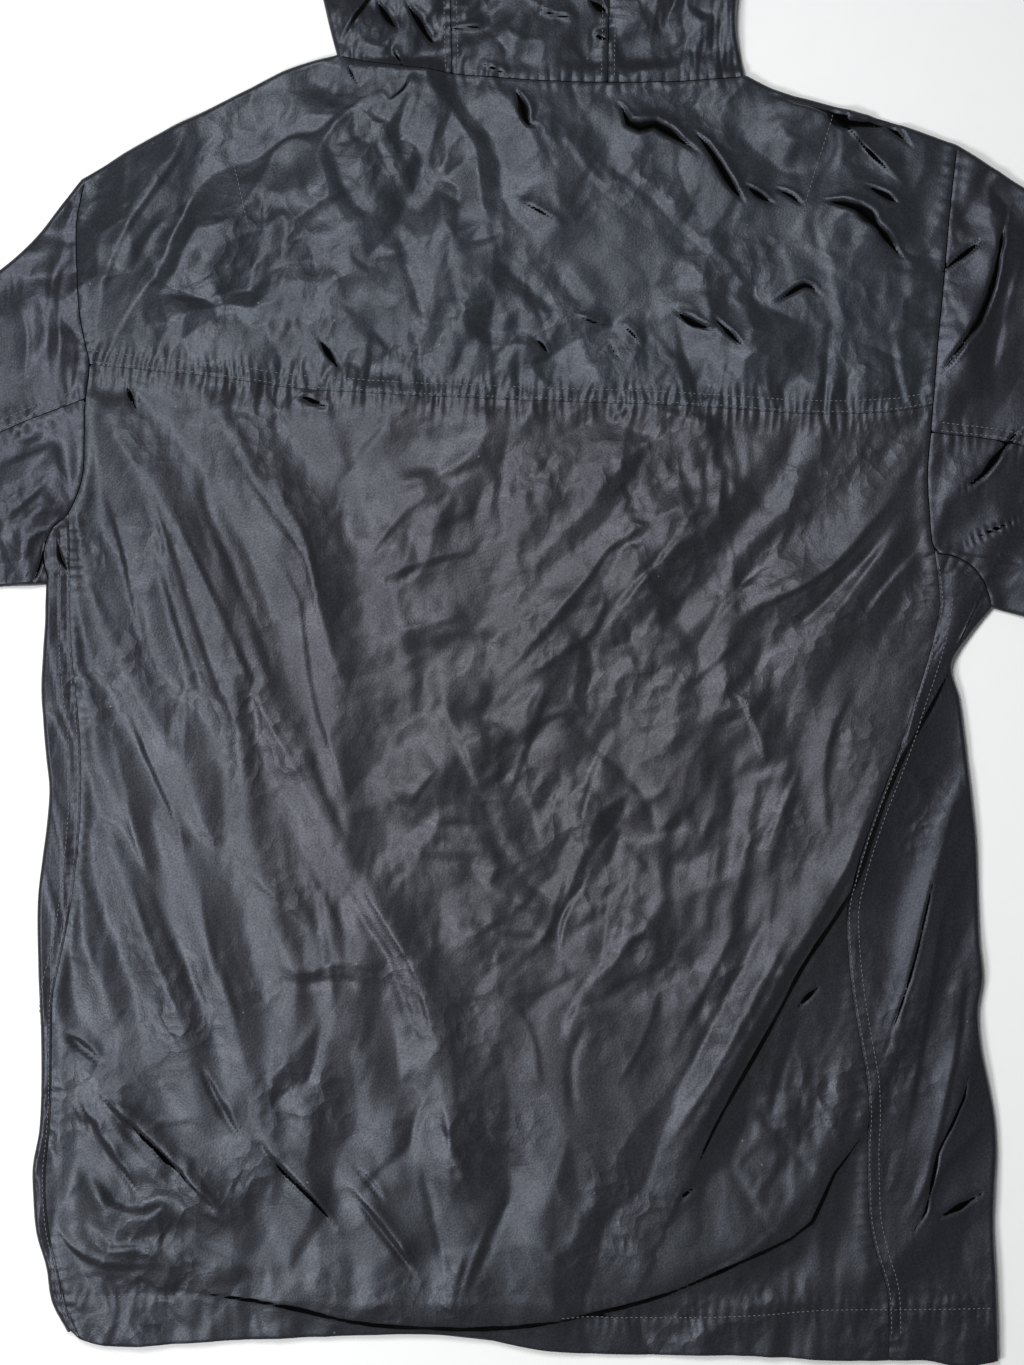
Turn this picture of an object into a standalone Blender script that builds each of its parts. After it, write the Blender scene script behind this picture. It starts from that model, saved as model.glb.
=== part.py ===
"""Hooded windbreaker jacket, closed and laid flat on a table, back up.

Every cut piece is a wall of cloth. The garment is one flattened tube with two flattened
sleeves and a flattened hood: an upper layer that carries the folds, a lower layer that lies
on the table, and a rounded edge where a piece turns from one layer to the other.
Sizes and places below are in millimetres; +X is the wearer's right as seen from behind,
+Y runs from hem to hood and +Z is up out of the back. The objects are made in metres.
"""

from math import cos, exp, pi, sin

import bmesh
import bpy
from mathutils import Matrix, Vector

MM = 0.001

# ---- driving dimensions -------------------------------------------------------------------
CLOTH = 1.3              # wall of a single layer
GAP = 0.16               # each piece keeps this far from a seam line
LOFT = 6.0               # upper layer's outer face above the table, away from the folds
EDGE_RADIUS = 3.0        # rounding where a piece turns over at the outline
EDGE_STEPS = 4
SHARP_ANGLE = 0.9        # faces that meet at more than this many radians show an edge
HEM_EXTRA = 0.5          # the turned hem stands this much prouder
HEM_DEPTH = 27.0
HEM_FADE = 6.0           # and sinks to the cloth above it over this length
BODY_HALF_WIDTH = 300.0  # the body's hem lies within this distance of the middle
FOLD_REACH = 3.0         # folds fade out this many widths away
FOLD_RUN_OUT = 0.25      # share of a fold's length at each end over which it runs out
FOLD_END = 0.25          # height left at the ends of a fold
ORIGIN_X, ORIGIN_Y = -1.5, 549.85    # middle of the laid-out garment

ZIP_X = 14.0             # centre front
ZIP_TAPE_WIDTH = 28.0
ZIP_TAPE = 0.6
ZIP_CHAIN_WIDTH = 5.8
ZIP_SLIT = 5.6           # from the centre front to the edge of each front
ZIP_FOOT_Y = 1.0         # hem end of the fronts' edges
FRONT_NECK_Y = 690.0
HOOD_CHIN_Y = 752.0      # the hood's edges part above this
ZIP_RISE = 3.5           # the zip lifts off the table by this much at its slider
ZIP_RISE_REACH = 75.0
ZIP_RISE_SPREAD = 40.0   # width of the slope of the lower layer beside the raised zip
ZIP_LUMP_WIDTH = 26.0    # half width of the swelling that the slider makes in the back
CHAIN_FOOT = 0.4         # underside of the chain above the fronts' underside
SLIDER_Y = 735.0
CHAIN_END_BELOW, CHAIN_END_ABOVE = 18.0, 2.0         # last two stations, from the slider
SLIDER_LENGTH, SLIDER_WIDTH, SLIDER_PLATE = 14.0, 10.0, 0.9
SLIDER_NECK = (3.5, 6.5)         # wedge between the plates, from the slider's middle
SLIDER_NECK_WIDTH = 3.6
PULL_PIVOT_Y, PULL_PIVOT_Z = 733.0, 1.2
PULL_LENGTH, PULL_WIDTH, PULL_PLATE = 24.0, 6.0, 1.1
PULL_EYE, PULL_HOLE, PIVOT_BAR = 1.2, 0.7, 0.5       # radii
PULL_STEM = 1.4          # half the width of the pull between the lugs
PULL_SHOULDER = 3.2      # from the pivot to the pull's flat part
PULL_STEP = 0.02         # between the faces of the pull's eye, stem and flat part
EYE_SEGMENTS, ROD_SEGMENTS = 16, 12
LUG_INNER, LUG_OUTER = 1.7, 2.7
LUG_HALF_LENGTH, LUG_BELOW_PIVOT = 1.2, 0.7
OVERLAP = 0.2            # how far joined parts of the slider run into each other

# columns and rows of the panels' grids
NECK_COLUMNS = (4, 6, 5)         # left, centre and right hood panel along the back neck
SHOULDER_COLUMNS = 6
BACK_COLUMNS = 40
ARMHOLE_ROWS = (8, 1, 3, 4)      # tip to yoke seam, to sleeve seam, to side seam, to underarm
FRONT_ARMHOLE_ROWS = (4, 4)      # tip to front sleeve seam, to underarm
SIDE_ROWS = 22
STRIP_COLUMNS = 3
STRIP_POINT = 0.7                # share of its last row that the strip's blunt point reaches
FRONT_NECK_COLUMNS = 4
SLEEVE_ROWS = 11
HOOD_ROWS = 10
CHIN_ROWS = 2
FOREHEAD_ROWS = 2

# ---- outline and seams, one table for each half --------------------------------------------
LEFT = {
    "sign": -1,
    "neck": (-109, 773),
    "shoulder": [(-137, 765), (-179, 744), (-221, 723), (-251, 705)],
    "tip": (-262, 699),
    # back armhole between the tip and the underarm, and which points the seams meet it at
    "armhole": [(-265, 670), (-263, 627), (-261, 608), (-257, 588), (-259, 567),
                (-260, 538), (-262, 512), (-269, 499), (-279, 489), (-284, 474)],
    "front_armhole": [(-248, 655), (-240, 610), (-238, 570), (-243, 525), (-257, 485), (-272, 466)],
    "underarm": (-283, 456),
    "side": [(-284, 423), (-286, 399), (-284, 363), (-281, 333), (-283, 309), (-288, 271),
             (-288, 238), (-286, 179), (-287, 133), (-291, 110), (-289, 70), (-281, 41),
             (-279, 25)],
    "corner": (-270, 9),
    "side_seam": [(-268, 457), (-268, 430), (-265, 391), (-262, 361), (-262, 322),
                  (-265, 285), (-271, 246), (-278, 214), (-279, 193), (-280, 140), (-283, 108),
                  (-281, 70), (-274, 41), (-271, 27), (-262, 6)],
    "front_hem": [(-180, 7), (-90, 10)],
    "strip_hem": [],
    "front_neck": [(-95, 735), (-62, 706), (-20, 692)],
    # sleeve: top edge, under edge and the back seam's share of the way across
    "sleeve": [
        {"top": (-311, 646), "under": (-311, 455), "seam": 0.52},
        {"top": (-372, 606), "under": (-338, 445), "seam": 0.52},
        {"top": (-437, 562), "under": (-364, 415), "seam": 0.51},
        {"top": (-497, 502), "under": (-396, 370), "seam": 0.50},
        {"top": (-549, 428), "under": (-433, 314), "seam": 0.50},
        {"top": (-593, 348), "under": (-470, 252), "seam": 0.50},
        {"top": (-632, 265), "under": (-507, 188), "seam": 0.50},
        {"top": (-661, 190), "under": (-533, 138), "seam": 0.50},
    ],
    "sleeve_start": [(-275, 681), (-290, 660)],
    "sleeve_under_start": [(-293, 457)],
    "hood_side": [(-117, 805), (-129, 860), (-137, 930), (-134, 1000)],
    "hood_corner": (-112, 1052),
    "hood_crown": [(-82, 1082)],
    "hood_seam_neck": (-40, 761),
    "hood_seam": [(-42, 850), (-44, 960)],
    "hood_seam_crown": (-42, 1101),
    "hood_opening": [(-22, 800), (-42, 870), (-46, 940), (-43, 1000)],
}
RIGHT = {
    "sign": 1,
    "neck": (135, 761),
    "shoulder": [(151, 753), (187, 743), (220, 734), (241, 727)],
    "tip": (263, 719),
    "armhole": [(258, 686), (254, 640), (250, 601), (247, 563), (246, 547),
                (244, 524), (245, 500), (248, 477), (266, 471), (278, 457)],
    "front_armhole": [(248, 665), (240, 615), (237, 570), (240, 520), (255, 476), (271, 455)],
    "underarm": (283, 442),
    "side": [(270, 426), (259, 408), (264, 387), (268, 355), (272, 320), (274, 295),
             (276, 240), (278, 224), (275, 191), (284, 143), (286, 116), (284, 80), (286, 31)],
    "corner": (287, -8),
    "side_seam": [(251, 443), (244, 411), (237, 391), (226, 357), (212, 321), (202, 291),
                  (196, 264), (197, 232), (201, 199), (206, 171), (209, 147), (208, 119),
                  (209, 80), (212, 61), (220, 33), (221, -7)],
    "front_hem": [(220, -5), (120, -2)],
    "strip_hem": [(242, -7), (270, -11)],
    "front_neck": [(120, 728), (85, 703), (48, 692)],
    "sleeve": [
        {"top": (303, 693), "under": (303, 435), "seam": 0.60},
        {"top": (368, 652), "under": (345, 425), "seam": 0.60},
        {"top": (430, 600), "under": (378, 398), "seam": 0.58},
        {"top": (487, 535), "under": (410, 362), "seam": 0.56},
        {"top": (538, 462), "under": (442, 313), "seam": 0.54},
        {"top": (583, 383), "under": (474, 254), "seam": 0.52},
        {"top": (622, 300), "under": (505, 194), "seam": 0.50},
        {"top": (658, 222), "under": (530, 145), "seam": 0.50},
    ],
    "sleeve_start": [(275, 713), (289, 704)],
    "sleeve_under_start": [(290, 438)],
    "hood_side": [(130, 805), (146, 865), (156, 935), (153, 1003)],
    "hood_corner": (133, 1056),
    "hood_crown": [(102, 1086)],
    "hood_seam_neck": (53, 756),
    "hood_seam": [(55, 850), (58, 960)],
    "hood_seam_crown": (58, 1104),
    "hood_opening": [(48, 800), (62, 870), (65, 940), (60, 1000)],
}
SIDES = (LEFT, RIGHT)

YOKE_SEAM = [(-194, 581), (-116, 572), (-17, 567), (94, 563), (172, 558), (221, 559)]
BACK_NECK = [(-78, 766), (6, 757)]
BACK_NECK_RIGHT = [(100, 757)]
HEM = [(-247, 2), (-223, 2), (-173, 5), (-124, 7), (-65, 9), (-26, 7), (-2, 2), (25, -2),
       (74, -4), (134, -4), (190, -7)]
HOOD_CROWN = [(8, 1110)]
FOREHEAD = [(-42, 1050), (8, 1053), (58, 1052)]

# ---- folds of the upper layer --------------------------------------------------------------
# A ridge is a soft roll of cloth that fades out at both ends. A bag is cloth that has slipped
# over itself: it stands highest along its line and sinks away behind it, to the side that
# "behind" gives: +1 is to the left of someone who walks along the line.
RIDGES = [
    {"height": 6.0, "width": 13,
     "line": [(-235, 541), (-206, 499), (-187, 445), (-174, 401), (-155, 361)]},
    {"height": 5.5, "width": 12,
     "line": [(-217, 527), (-186, 474), (-160, 421), (-140, 370), (-116, 318), (-102, 292)]},
    {"height": 4.0, "width": 12,
     "line": [(-246, 541), (-227, 510), (-214, 471), (-200, 420), (-188, 384)]},
    {"height": 5.0, "width": 13,
     "line": [(-184, 561), (-160, 524), (-130, 480), (-115, 425), (-98, 386), (-84, 366)]},
    {"height": 4.0, "width": 12,
     "line": [(-148, 531), (-125, 484), (-118, 430), (-104, 350), (-96, 312)]},
    {"height": 5.5, "width": 13,
     "line": [(-104, 297), (-80, 257), (-60, 224), (-50, 190), (-42, 150), (-36, 105)]},
    {"height": 3.5, "width": 12, "line": [(-236, 291), (-224, 253), (-208, 214), (-192, 174)]},
    {"height": 3.0, "width": 12, "line": [(-193, 287), (-183, 236), (-172, 207), (-164, 176)]},
    {"height": 3.5, "width": 12, "line": [(-150, 232), (-118, 226), (-92, 228), (-76, 224)]},
    {"height": 5.0, "width": 13, "line": [(-245, 148), (-222, 118), (-198, 98), (-172, 72)]},
    {"height": 4.0, "width": 12, "line": [(-158, 125), (-136, 104), (-112, 72)]},
    {"height": 4.0, "width": 12, "line": [(-100, 100), (-80, 76), (-62, 50)]},
    {"height": 4.5, "width": 12, "line": [(-18, 88), (-30, 62), (-42, 36)]},
    {"height": 4.5, "width": 13, "line": [(226, 516), (205, 488), (180, 462), (135, 440)]},
    {"height": 4.0, "width": 13, "line": [(230, 492), (200, 446), (168, 416)]},
    {"height": 4.0, "width": 12, "line": [(129, 514), (90, 492), (55, 466), (20, 430), (-4, 412)]},
    {"height": 3.5, "width": 12, "line": [(110, 508), (88, 474), (56, 440)]},
    {"height": 3.0, "width": 12, "line": [(26, 540), (10, 516), (6, 496)]},
    {"height": 3.0, "width": 12, "line": [(-84, 428), (-58, 434), (-28, 440)]},
    {"height": 3.0, "width": 12, "line": [(-96, 466), (-72, 490), (-44, 520)]},
    {"height": 3.0, "width": 12, "line": [(-68, 324), (-42, 346), (-6, 372)]},
    {"height": 3.0, "width": 12, "line": [(132, 396), (142, 368), (150, 346)]},
    {"height": 4.5, "width": 13,
     "line": [(166, 262), (146, 220), (126, 182), (104, 146), (82, 112)]},
    {"height": 5.0, "width": 12,
     "line": [(268, 350), (256, 312), (244, 262), (234, 212), (222, 164)]},
    {"height": 4.0, "width": 12, "line": [(270, 188), (264, 150), (248, 112)]},
    {"height": 4.0, "width": 12, "line": [(282, 96), (246, 76), (222, 50), (180, 34), (110, 18)]},
    {"height": 5.0, "width": 14,
     "line": [(-203, 726), (-212, 700), (-232, 660), (-250, 628), (-258, 604)]},
    {"height": 3.0, "width": 13, "line": [(-146, 640), (-128, 600)]},
    {"height": 3.5, "width": 13, "line": [(-46, 668), (-36, 632), (-28, 596)]},
    {"height": 4.5, "width": 13,
     "line": [(54, 738), (74, 728), (100, 718), (124, 692), (144, 676)]},
    {"height": 4.0, "width": 13, "line": [(150, 686), (178, 680), (206, 676), (226, 650)]},
    {"height": 3.0, "width": 12, "line": [(-2, 682), (28, 664)]},
    {"height": 3.5, "width": 12, "line": [(94, 616), (118, 606), (142, 600), (172, 618)]},
    {"height": 4.0, "width": 14, "line": [(-300, 640), (-286, 600), (-276, 560)]},
    {"height": 4.0, "width": 14, "line": [(-310, 500), (-292, 492), (-276, 520)]},
    {"height": 4.5, "width": 14, "line": [(289, 672), (278, 640), (268, 600), (258, 566)]},
    {"height": 4.0, "width": 14, "line": [(322, 556), (296, 536), (268, 516), (250, 508)]},
    {"height": 4.5, "width": 15, "line": [(-330, 600), (-390, 545), (-452, 470)]},
    {"height": 4.0, "width": 15, "line": [(-395, 420), (-440, 400), (-500, 400)]},
    {"height": 4.0, "width": 15, "line": [(-440, 340), (-490, 330), (-548, 340)]},
    {"height": 4.5, "width": 15, "line": [(335, 640), (392, 580), (450, 500)]},
    {"height": 4.0, "width": 15, "line": [(400, 420), (450, 410), (510, 430)]},
    {"height": 4.0, "width": 15, "line": [(455, 330), (500, 330), (556, 350)]},
    {"height": 4.5, "width": 15, "line": [(-92, 800), (-70, 850), (-66, 930)]},
    {"height": 4.0, "width": 15, "line": [(100, 790), (88, 850), (96, 920)]},
    {"height": 3.5, "width": 15, "line": [(0, 790), (18, 860), (10, 940)]},
    {"height": 3.5, "width": 15, "line": [(-90, 990), (-20, 1030), (60, 1020)]},
]
BAGS = [
    # the back's slack, pushed over itself from the right underarm to the middle of the hem
    {"height": 8.0, "drop": 11, "sink": 60, "behind": -1,
     "line": [(262, 420), (245, 385), (225, 350), (209, 308), (197, 274), (168, 230), (149, 194),
              (118, 139), (100, 100)]},
    # the back blousing over its hem
    {"height": 6.0, "drop": 11, "sink": 55, "behind": 1,
     "line": [(-212, 38), (-144, 28), (-85, 16), (-2, 15), (74, 30), (134, 55), (171, 74),
              (185, 103), (201, 124), (213, 146)]},
]

# ---- curves --------------------------------------------------------------------------------
CURVE_STEPS = 10


def fine(points):
    """A smooth curve through the points, CURVE_STEPS short chords to each stretch."""
    ends = [2 * Vector(points[0]) - Vector(points[1])]
    ends += [Vector(p) for p in points]
    ends += [2 * Vector(points[-1]) - Vector(points[-2])]
    curve = []
    for a, b, c, d in zip(ends, ends[1:], ends[2:], ends[3:]):
        for step in range(CURVE_STEPS):
            t = step / CURVE_STEPS
            curve.append(0.5 * (2 * b + (c - a) * t + (2 * a - 5 * b + 4 * c - d) * t * t
                                + (3 * b - a - 3 * c + d) * t ** 3))
    return curve + [ends[-2]]


def spread(curve, count):
    """count + 1 points at even distances along a fine curve."""
    along = [0.0]
    for a, b in zip(curve, curve[1:]):
        along.append(along[-1] + (b - a).length)
    points, k = [], 0
    for i in range(count + 1):
        want = along[-1] * i / count
        while k < len(curve) - 2 and along[k + 1] < want:
            k += 1
        share = (want - along[k]) / max(along[k + 1] - along[k], 1e-9)
        points.append(curve[k].lerp(curve[k + 1], min(max(share, 0.0), 1.0)))
    return points


def even(points, count):
    return spread(fine(points), count)


def stretches(points, marks, counts):
    """Even points on each stretch of one curve between the numbered marks."""
    curve = fine(points)
    result = []
    for first, last, count in zip(marks, marks[1:], counts):
        part = spread(curve[first * CURVE_STEPS:last * CURVE_STEPS + 1], count)
        result += part if not result else part[1:]
    return result


def across(points, i, sign):
    """Unit vector square to a chain of points at point i, to its left for sign +1."""
    run = (points[min(i + 1, len(points) - 1)] - points[max(i - 1, 0)]).normalized()
    return Vector((-run.y, run.x)) * sign


def moved(points, distance, sign, first=None, last=None):
    """The chain moved sideways, with its end directions given where pieces meet there."""
    out = []
    for i, p in enumerate(points):
        way = across(points, i, sign)
        if i == 0 and first is not None:
            way = first
        if i == len(points) - 1 and last is not None:
            way = last
        out.append(p + way * distance)
    return out


def patch(start, end, low, high):
    """Rows of a grid that fills four chains: start and end are rows, low and high their ends."""
    rows = []
    for j in range(len(low)):
        v = j / (len(low) - 1)
        row = []
        for i in range(len(start)):
            u = i / (len(start) - 1)
            sides = low[j] * (1 - u) + high[j] * u + start[i] * (1 - v) + end[i] * v
            corners = (start[0] * (1 - u) * (1 - v) + start[-1] * u * (1 - v)
                       + end[0] * (1 - u) * v + end[-1] * u * v)
            row.append(sides - corners)
        rows.append([low[j], *row[1:-1], high[j]])
    return [start, *rows[1:-1], end]


# ---- height of the cloth -------------------------------------------------------------------
def smooth(t):
    t = min(max(t, 0.0), 1.0)
    return t * t * (3 - 2 * t)


FOLD_CHORDS = 10
FOLD_LINES = [[(fold, even(fold["line"], FOLD_CHORDS)) for fold in table]
              for table in (RIDGES, BAGS)]


def nearest(line, p):
    """Signed distance to a line (left is +) and the share of its length reached there."""
    best = None
    for k, (a, b) in enumerate(zip(line, line[1:])):
        run = b - a
        t = min(max((p - a).dot(run) / run.length_squared, 0.0), 1.0)
        off = p - (a + run * t)
        if best is None or off.length < best[0]:
            side = 1 if run.x * off.y - run.y * off.x > 0 else -1
            best = (off.length, side, (k + t) / (len(line) - 1))
    return best[0] * best[1], best[2]


def fade(share):
    """A fold is full in its middle and runs out at its ends."""
    full = smooth(share / FOLD_RUN_OUT) * smooth((1 - share) / FOLD_RUN_OUT)
    return full * (1 - FOLD_END) + FOLD_END


def folds(p):
    total = 0.0
    for ridge, line in FOLD_LINES[0]:
        off, share = nearest(line, p)
        if abs(off) < FOLD_REACH * ridge["width"]:
            total += ridge["height"] * exp(-(off / ridge["width"]) ** 2) * fade(share)
    for bag, line in FOLD_LINES[1]:
        off, share = nearest(line, p)
        off *= bag["behind"]
        if off > 0:
            total += bag["height"] * exp(-off / bag["sink"]) * fade(share)
        else:
            total += bag["height"] * smooth(1 + off / bag["drop"]) * fade(share)
    return total


def hem_share(p):
    return 1 - smooth((p.y - HEM_DEPTH) / HEM_FADE) if abs(p.x) < BODY_HALF_WIDTH else 0.0


def zip_rise(y):
    return ZIP_RISE * smooth(1.25 - abs(y - SLIDER_Y) / ZIP_RISE_REACH)


def upper(p):
    """Outer face of the upper layer, and the way out of the cloth there."""
    lump = zip_rise(p.y) * exp(-((p.x - ZIP_X) / ZIP_LUMP_WIDTH) ** 2)
    z = LOFT + folds(p) + HEM_EXTRA * hem_share(p) + lump
    return Vector((p.x, p.y, z)), Vector((0, 0, 1))


def lower(p):
    """Outer face of the lower layer, which lies on the table but for the zip's slider."""
    z = zip_rise(p.y) * smooth(1 - (abs(p.x - ZIP_X) - ZIP_SLIT) / ZIP_RISE_SPREAD)
    return Vector((p.x, p.y, z)), Vector((0, 0, -1))


# ---- panels --------------------------------------------------------------------------------
class Panel:
    """One cut piece: a sheet of outer points, each with its way out, and the faces on them."""

    def __init__(self):
        self.points, self.ways, self.faces, self.index = [], [], [], {}

    def vertex(self, point, way):
        key = tuple(round(c, 3) for c in point)
        if key not in self.index:
            self.index[key] = len(self.points)
            self.points.append(point)
            self.ways.append(way)
        return self.index[key]

    def grid(self, rows):
        """Faces between rows of (point, way) pairs, all turned outwards."""
        ids = [[self.vertex(*pair) for pair in row] for row in rows]
        for low, high in zip(ids, ids[1:]):
            for a, b, c, d in zip(low, low[1:], high[1:], high):
                self.face([a, b, c, d])

    def face(self, corners):
        ring = [c for i, c in enumerate(corners) if c != corners[i - 1]]
        if len(ring) < 3:
            return
        a, b, c = (self.points[i] for i in ring[:3])
        way = sum((self.ways[i] for i in ring), Vector())
        if (b - a).cross(c - a).dot(way) < 0:
            ring.reverse()
        self.faces.append(ring)

    def layer(self, surface, start, end, low, high):
        self.grid([[surface(p) for p in row] for row in patch(start, end, low, high)])

    def turn(self, tangents, outward):
        """The rounded edge from the upper layer, over the outline, to the lower layer."""
        self.grid([edge_ring(t, m) for t, m in zip(tangents, outward)])

    def wall(self, name, material):
        """The closed solid: the outer sheet, the inner sheet and the rim between them."""
        mesh = bmesh.new()
        outer = [mesh.verts.new(p * MM) for p in self.points]
        inner = [mesh.verts.new((p - w * CLOTH) * MM) for p, w in zip(self.points, self.ways)]
        edges = {(f[i - 1], f[i]) for f in self.faces for i in range(len(f))}
        for f in self.faces:
            mesh.faces.new([outer[i] for i in f])
            mesh.faces.new([inner[i] for i in reversed(f)])
        for a, b in sorted(edges):
            if (b, a) not in edges:
                mesh.faces.new([outer[b], outer[a], inner[a], inner[b]])
        return add_object(name, mesh, material)


def edge_ring(tangent, outward):
    top, way = upper(tangent)
    foot, foot_way = lower(tangent)
    middle, half = (top.z + foot.z) / 2, (top.z - foot.z) / 2
    ring = [(top, way)]
    for step in range(1, EDGE_STEPS):
        angle = pi * step / EDGE_STEPS
        flat = tangent + outward * EDGE_RADIUS * sin(angle)
        out = Vector((outward.x * sin(angle), outward.y * sin(angle), cos(angle)))
        ring.append((Vector((flat.x, flat.y, middle + half * cos(angle))), out))
    return ring + [(foot, foot_way)]


def add_object(name, mesh, material, smooth_shading=True):
    bmesh.ops.translate(mesh, vec=Vector((-ORIGIN_X, -ORIGIN_Y, 0)) * MM, verts=mesh.verts)
    data = bpy.data.meshes.new(name)
    mesh.to_mesh(data)
    mesh.free()
    data.materials.append(material)
    if smooth_shading:
        data.shade_smooth()
        data.set_sharp_from_angle(angle=SHARP_ANGLE)
    result = bpy.data.objects.new(name, data)
    bpy.context.scene.collection.objects.link(result)
    return result


def principled(name, colour, roughness, metallic=0.0):
    material = bpy.data.materials.new(name)
    material.use_nodes = True
    shader = material.node_tree.nodes["Principled BSDF"]
    shader.inputs["Base Color"].default_value = (*colour, 1)
    shader.inputs["Roughness"].default_value = roughness
    shader.inputs["Metallic"].default_value = metallic
    material.diffuse_color = (*colour, 1)
    return material


# ---- seams shared by neighbouring pieces ---------------------------------------------------
def run_of(outward, sign):
    """Direction along an outline that has this outward way, away from the neck."""
    return Vector((outward.y, -outward.x)) * sign


def straight(a, b, count):
    return [a.lerp(b, i / count) for i in range(count + 1)]


def closed_ends(chain, first=None, last=None):
    """The chain with its end points set to those of the chains that it meets."""
    chain = list(chain)
    chain[0] = chain[0] if first is None else first
    chain[-1] = chain[-1] if last is None else last
    return chain


def nudged(chain, first=None, last=None):
    """The chain with its end points moved by the given steps."""
    still = Vector((0, 0))
    return closed_ends(chain, chain[0] + (first or still), chain[-1] + (last or still))


def hood_outline():
    """The hood's edge from the left of the neck over the crown to the right of it."""
    halves = []
    for side, columns in ((LEFT, NECK_COLUMNS[0]), (RIGHT, NECK_COLUMNS[2])):
        rise = even([side["neck"], *side["hood_side"], side["hood_corner"]], HOOD_ROWS)
        crown = even([side["hood_corner"], *side["hood_crown"], side["hood_seam_crown"]], columns)
        halves.append(rise + crown[1:])
    middle = even([LEFT["hood_seam_crown"], *HOOD_CROWN, RIGHT["hood_seam_crown"]], NECK_COLUMNS[1])
    return halves[0] + middle[1:-1] + halves[1][::-1]


def lay_out():
    """Give each half the chains of points that its pieces share."""
    hood = hood_outline()
    hood_out = [across(hood, i, 1) for i in range(len(hood))]
    for side in SIDES:
        s = side["sign"]
        lines = {
            "shoulder": even([side["neck"], *side["shoulder"], side["tip"]], SHOULDER_COLUMNS),
            "sleeve_top": even([side["tip"], *side["sleeve_start"],
                                *(row["top"] for row in side["sleeve"])], SLEEVE_ROWS),
            "sleeve_under": even([side["underarm"], *side["sleeve_under_start"],
                                  *(row["under"] for row in side["sleeve"])], SLEEVE_ROWS),
            "edge": even([side["underarm"], *side["side"], side["corner"]], SIDE_ROWS)}
        turn_to = {"shoulder": s, "sleeve_top": s, "sleeve_under": -s, "edge": s}
        out = {name: [across(line, i, turn_to[name]) for i in range(len(line))]
               for name, line in lines.items()}
        lines["hood"] = hood if s < 0 else hood[::-1]
        out["hood"] = hood_out if s < 0 else hood_out[::-1]
        for a, b, at_a in (("shoulder", "sleeve_top", -1), ("shoulder", "hood", 0),
                           ("edge", "sleeve_under", 0)):
            out[a][at_a] = (out[a][at_a] + out[b][0]).normalized()
            out[b][0] = out[a][at_a]
        side["out"] = out
        side["in"] = {name: [p - m * EDGE_RADIUS for p, m in zip(line, out[name])]
                      for name, line in lines.items()}
        side["tip_way"] = run_of(out["shoulder"][-1], s)
        side["neck_way"] = -run_of(out["shoulder"][0], s)
        side["underarm_way"] = -run_of(out["edge"][0], s)
        neck, tip = side["in"]["shoulder"][0], side["in"]["shoulder"][-1]
        underarm = side["in"]["edge"][0]
        side["back_arm"] = stretches([tip, *side["armhole"], underarm], (0, 4, 5, 8, 11),
                                     ARMHOLE_ROWS)
        side["front_arm"] = stretches([tip, *side["front_armhole"], underarm], (0, 3, 7),
                                      FRONT_ARMHOLE_ROWS)
        side["seam"] = stretches([side["armhole"][7], *side["side_seam"]],
                                 (0, 1, len(side["side_seam"])), (ARMHOLE_ROWS[3], SIDE_ROWS))
        slit = ZIP_X + s * ZIP_SLIT
        side["front_neck_line"] = even([neck, *side["front_neck"], (slit, FRONT_NECK_Y)],
                                       FRONT_NECK_COLUMNS)
        side["zip_edge"] = (straight(Vector((slit, ZIP_FOOT_Y)),
                                     Vector((slit, side["underarm"][1])), SIDE_ROWS)
                            + straight(Vector((slit, side["underarm"][1])),
                                       Vector((slit, FRONT_NECK_Y)), sum(FRONT_ARMHOLE_ROWS))[1:])


def body_arm(side, chain):
    """An armhole chain on the body's side of the seam, tip to underarm."""
    return moved(chain, -GAP, side["sign"], side["tip_way"], side["underarm_way"])


def sleeve_arm(side, chain):
    return moved(chain, GAP, side["sign"], side["tip_way"], side["underarm_way"])


def yoke_seam():
    ends = (LEFT["back_arm"][ARMHOLE_ROWS[0]], RIGHT["back_arm"][ARMHOLE_ROWS[0]])
    return [ends[0], *YOKE_SEAM, ends[1]]


def back_neck():
    knots = [LEFT["in"]["shoulder"][0], BACK_NECK[0], LEFT["hood_seam_neck"], BACK_NECK[1],
             RIGHT["hood_seam_neck"], BACK_NECK_RIGHT[0], RIGHT["in"]["shoulder"][0]]
    return stretches(knots, (0, 2, 4, 6), NECK_COLUMNS)


# ---- pieces --------------------------------------------------------------------------------
UP = Vector((0, 1))


def back_body(material):
    top = moved(even(yoke_seam(), BACK_COLUMNS), -GAP, 1)
    sides = []
    for side in SIDES:
        arm = body_arm(side, side["back_arm"])[ARMHOLE_ROWS[0]:sum(ARMHOLE_ROWS[:3]) + 1]
        seam = moved(side["seam"], GAP, -side["sign"])
        sides.append(nudged(arm, first=-UP * GAP)[:-1] + seam)
    hem = even([LEFT["side_seam"][-1], *HEM, RIGHT["side_seam"][-1]], BACK_COLUMNS)
    low, high = sides
    panel = Panel()
    panel.layer(upper, closed_ends(top, low[0], high[0]), closed_ends(hem, low[-1], high[-1]),
                low, high)
    return panel.wall("back_body", material)


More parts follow.
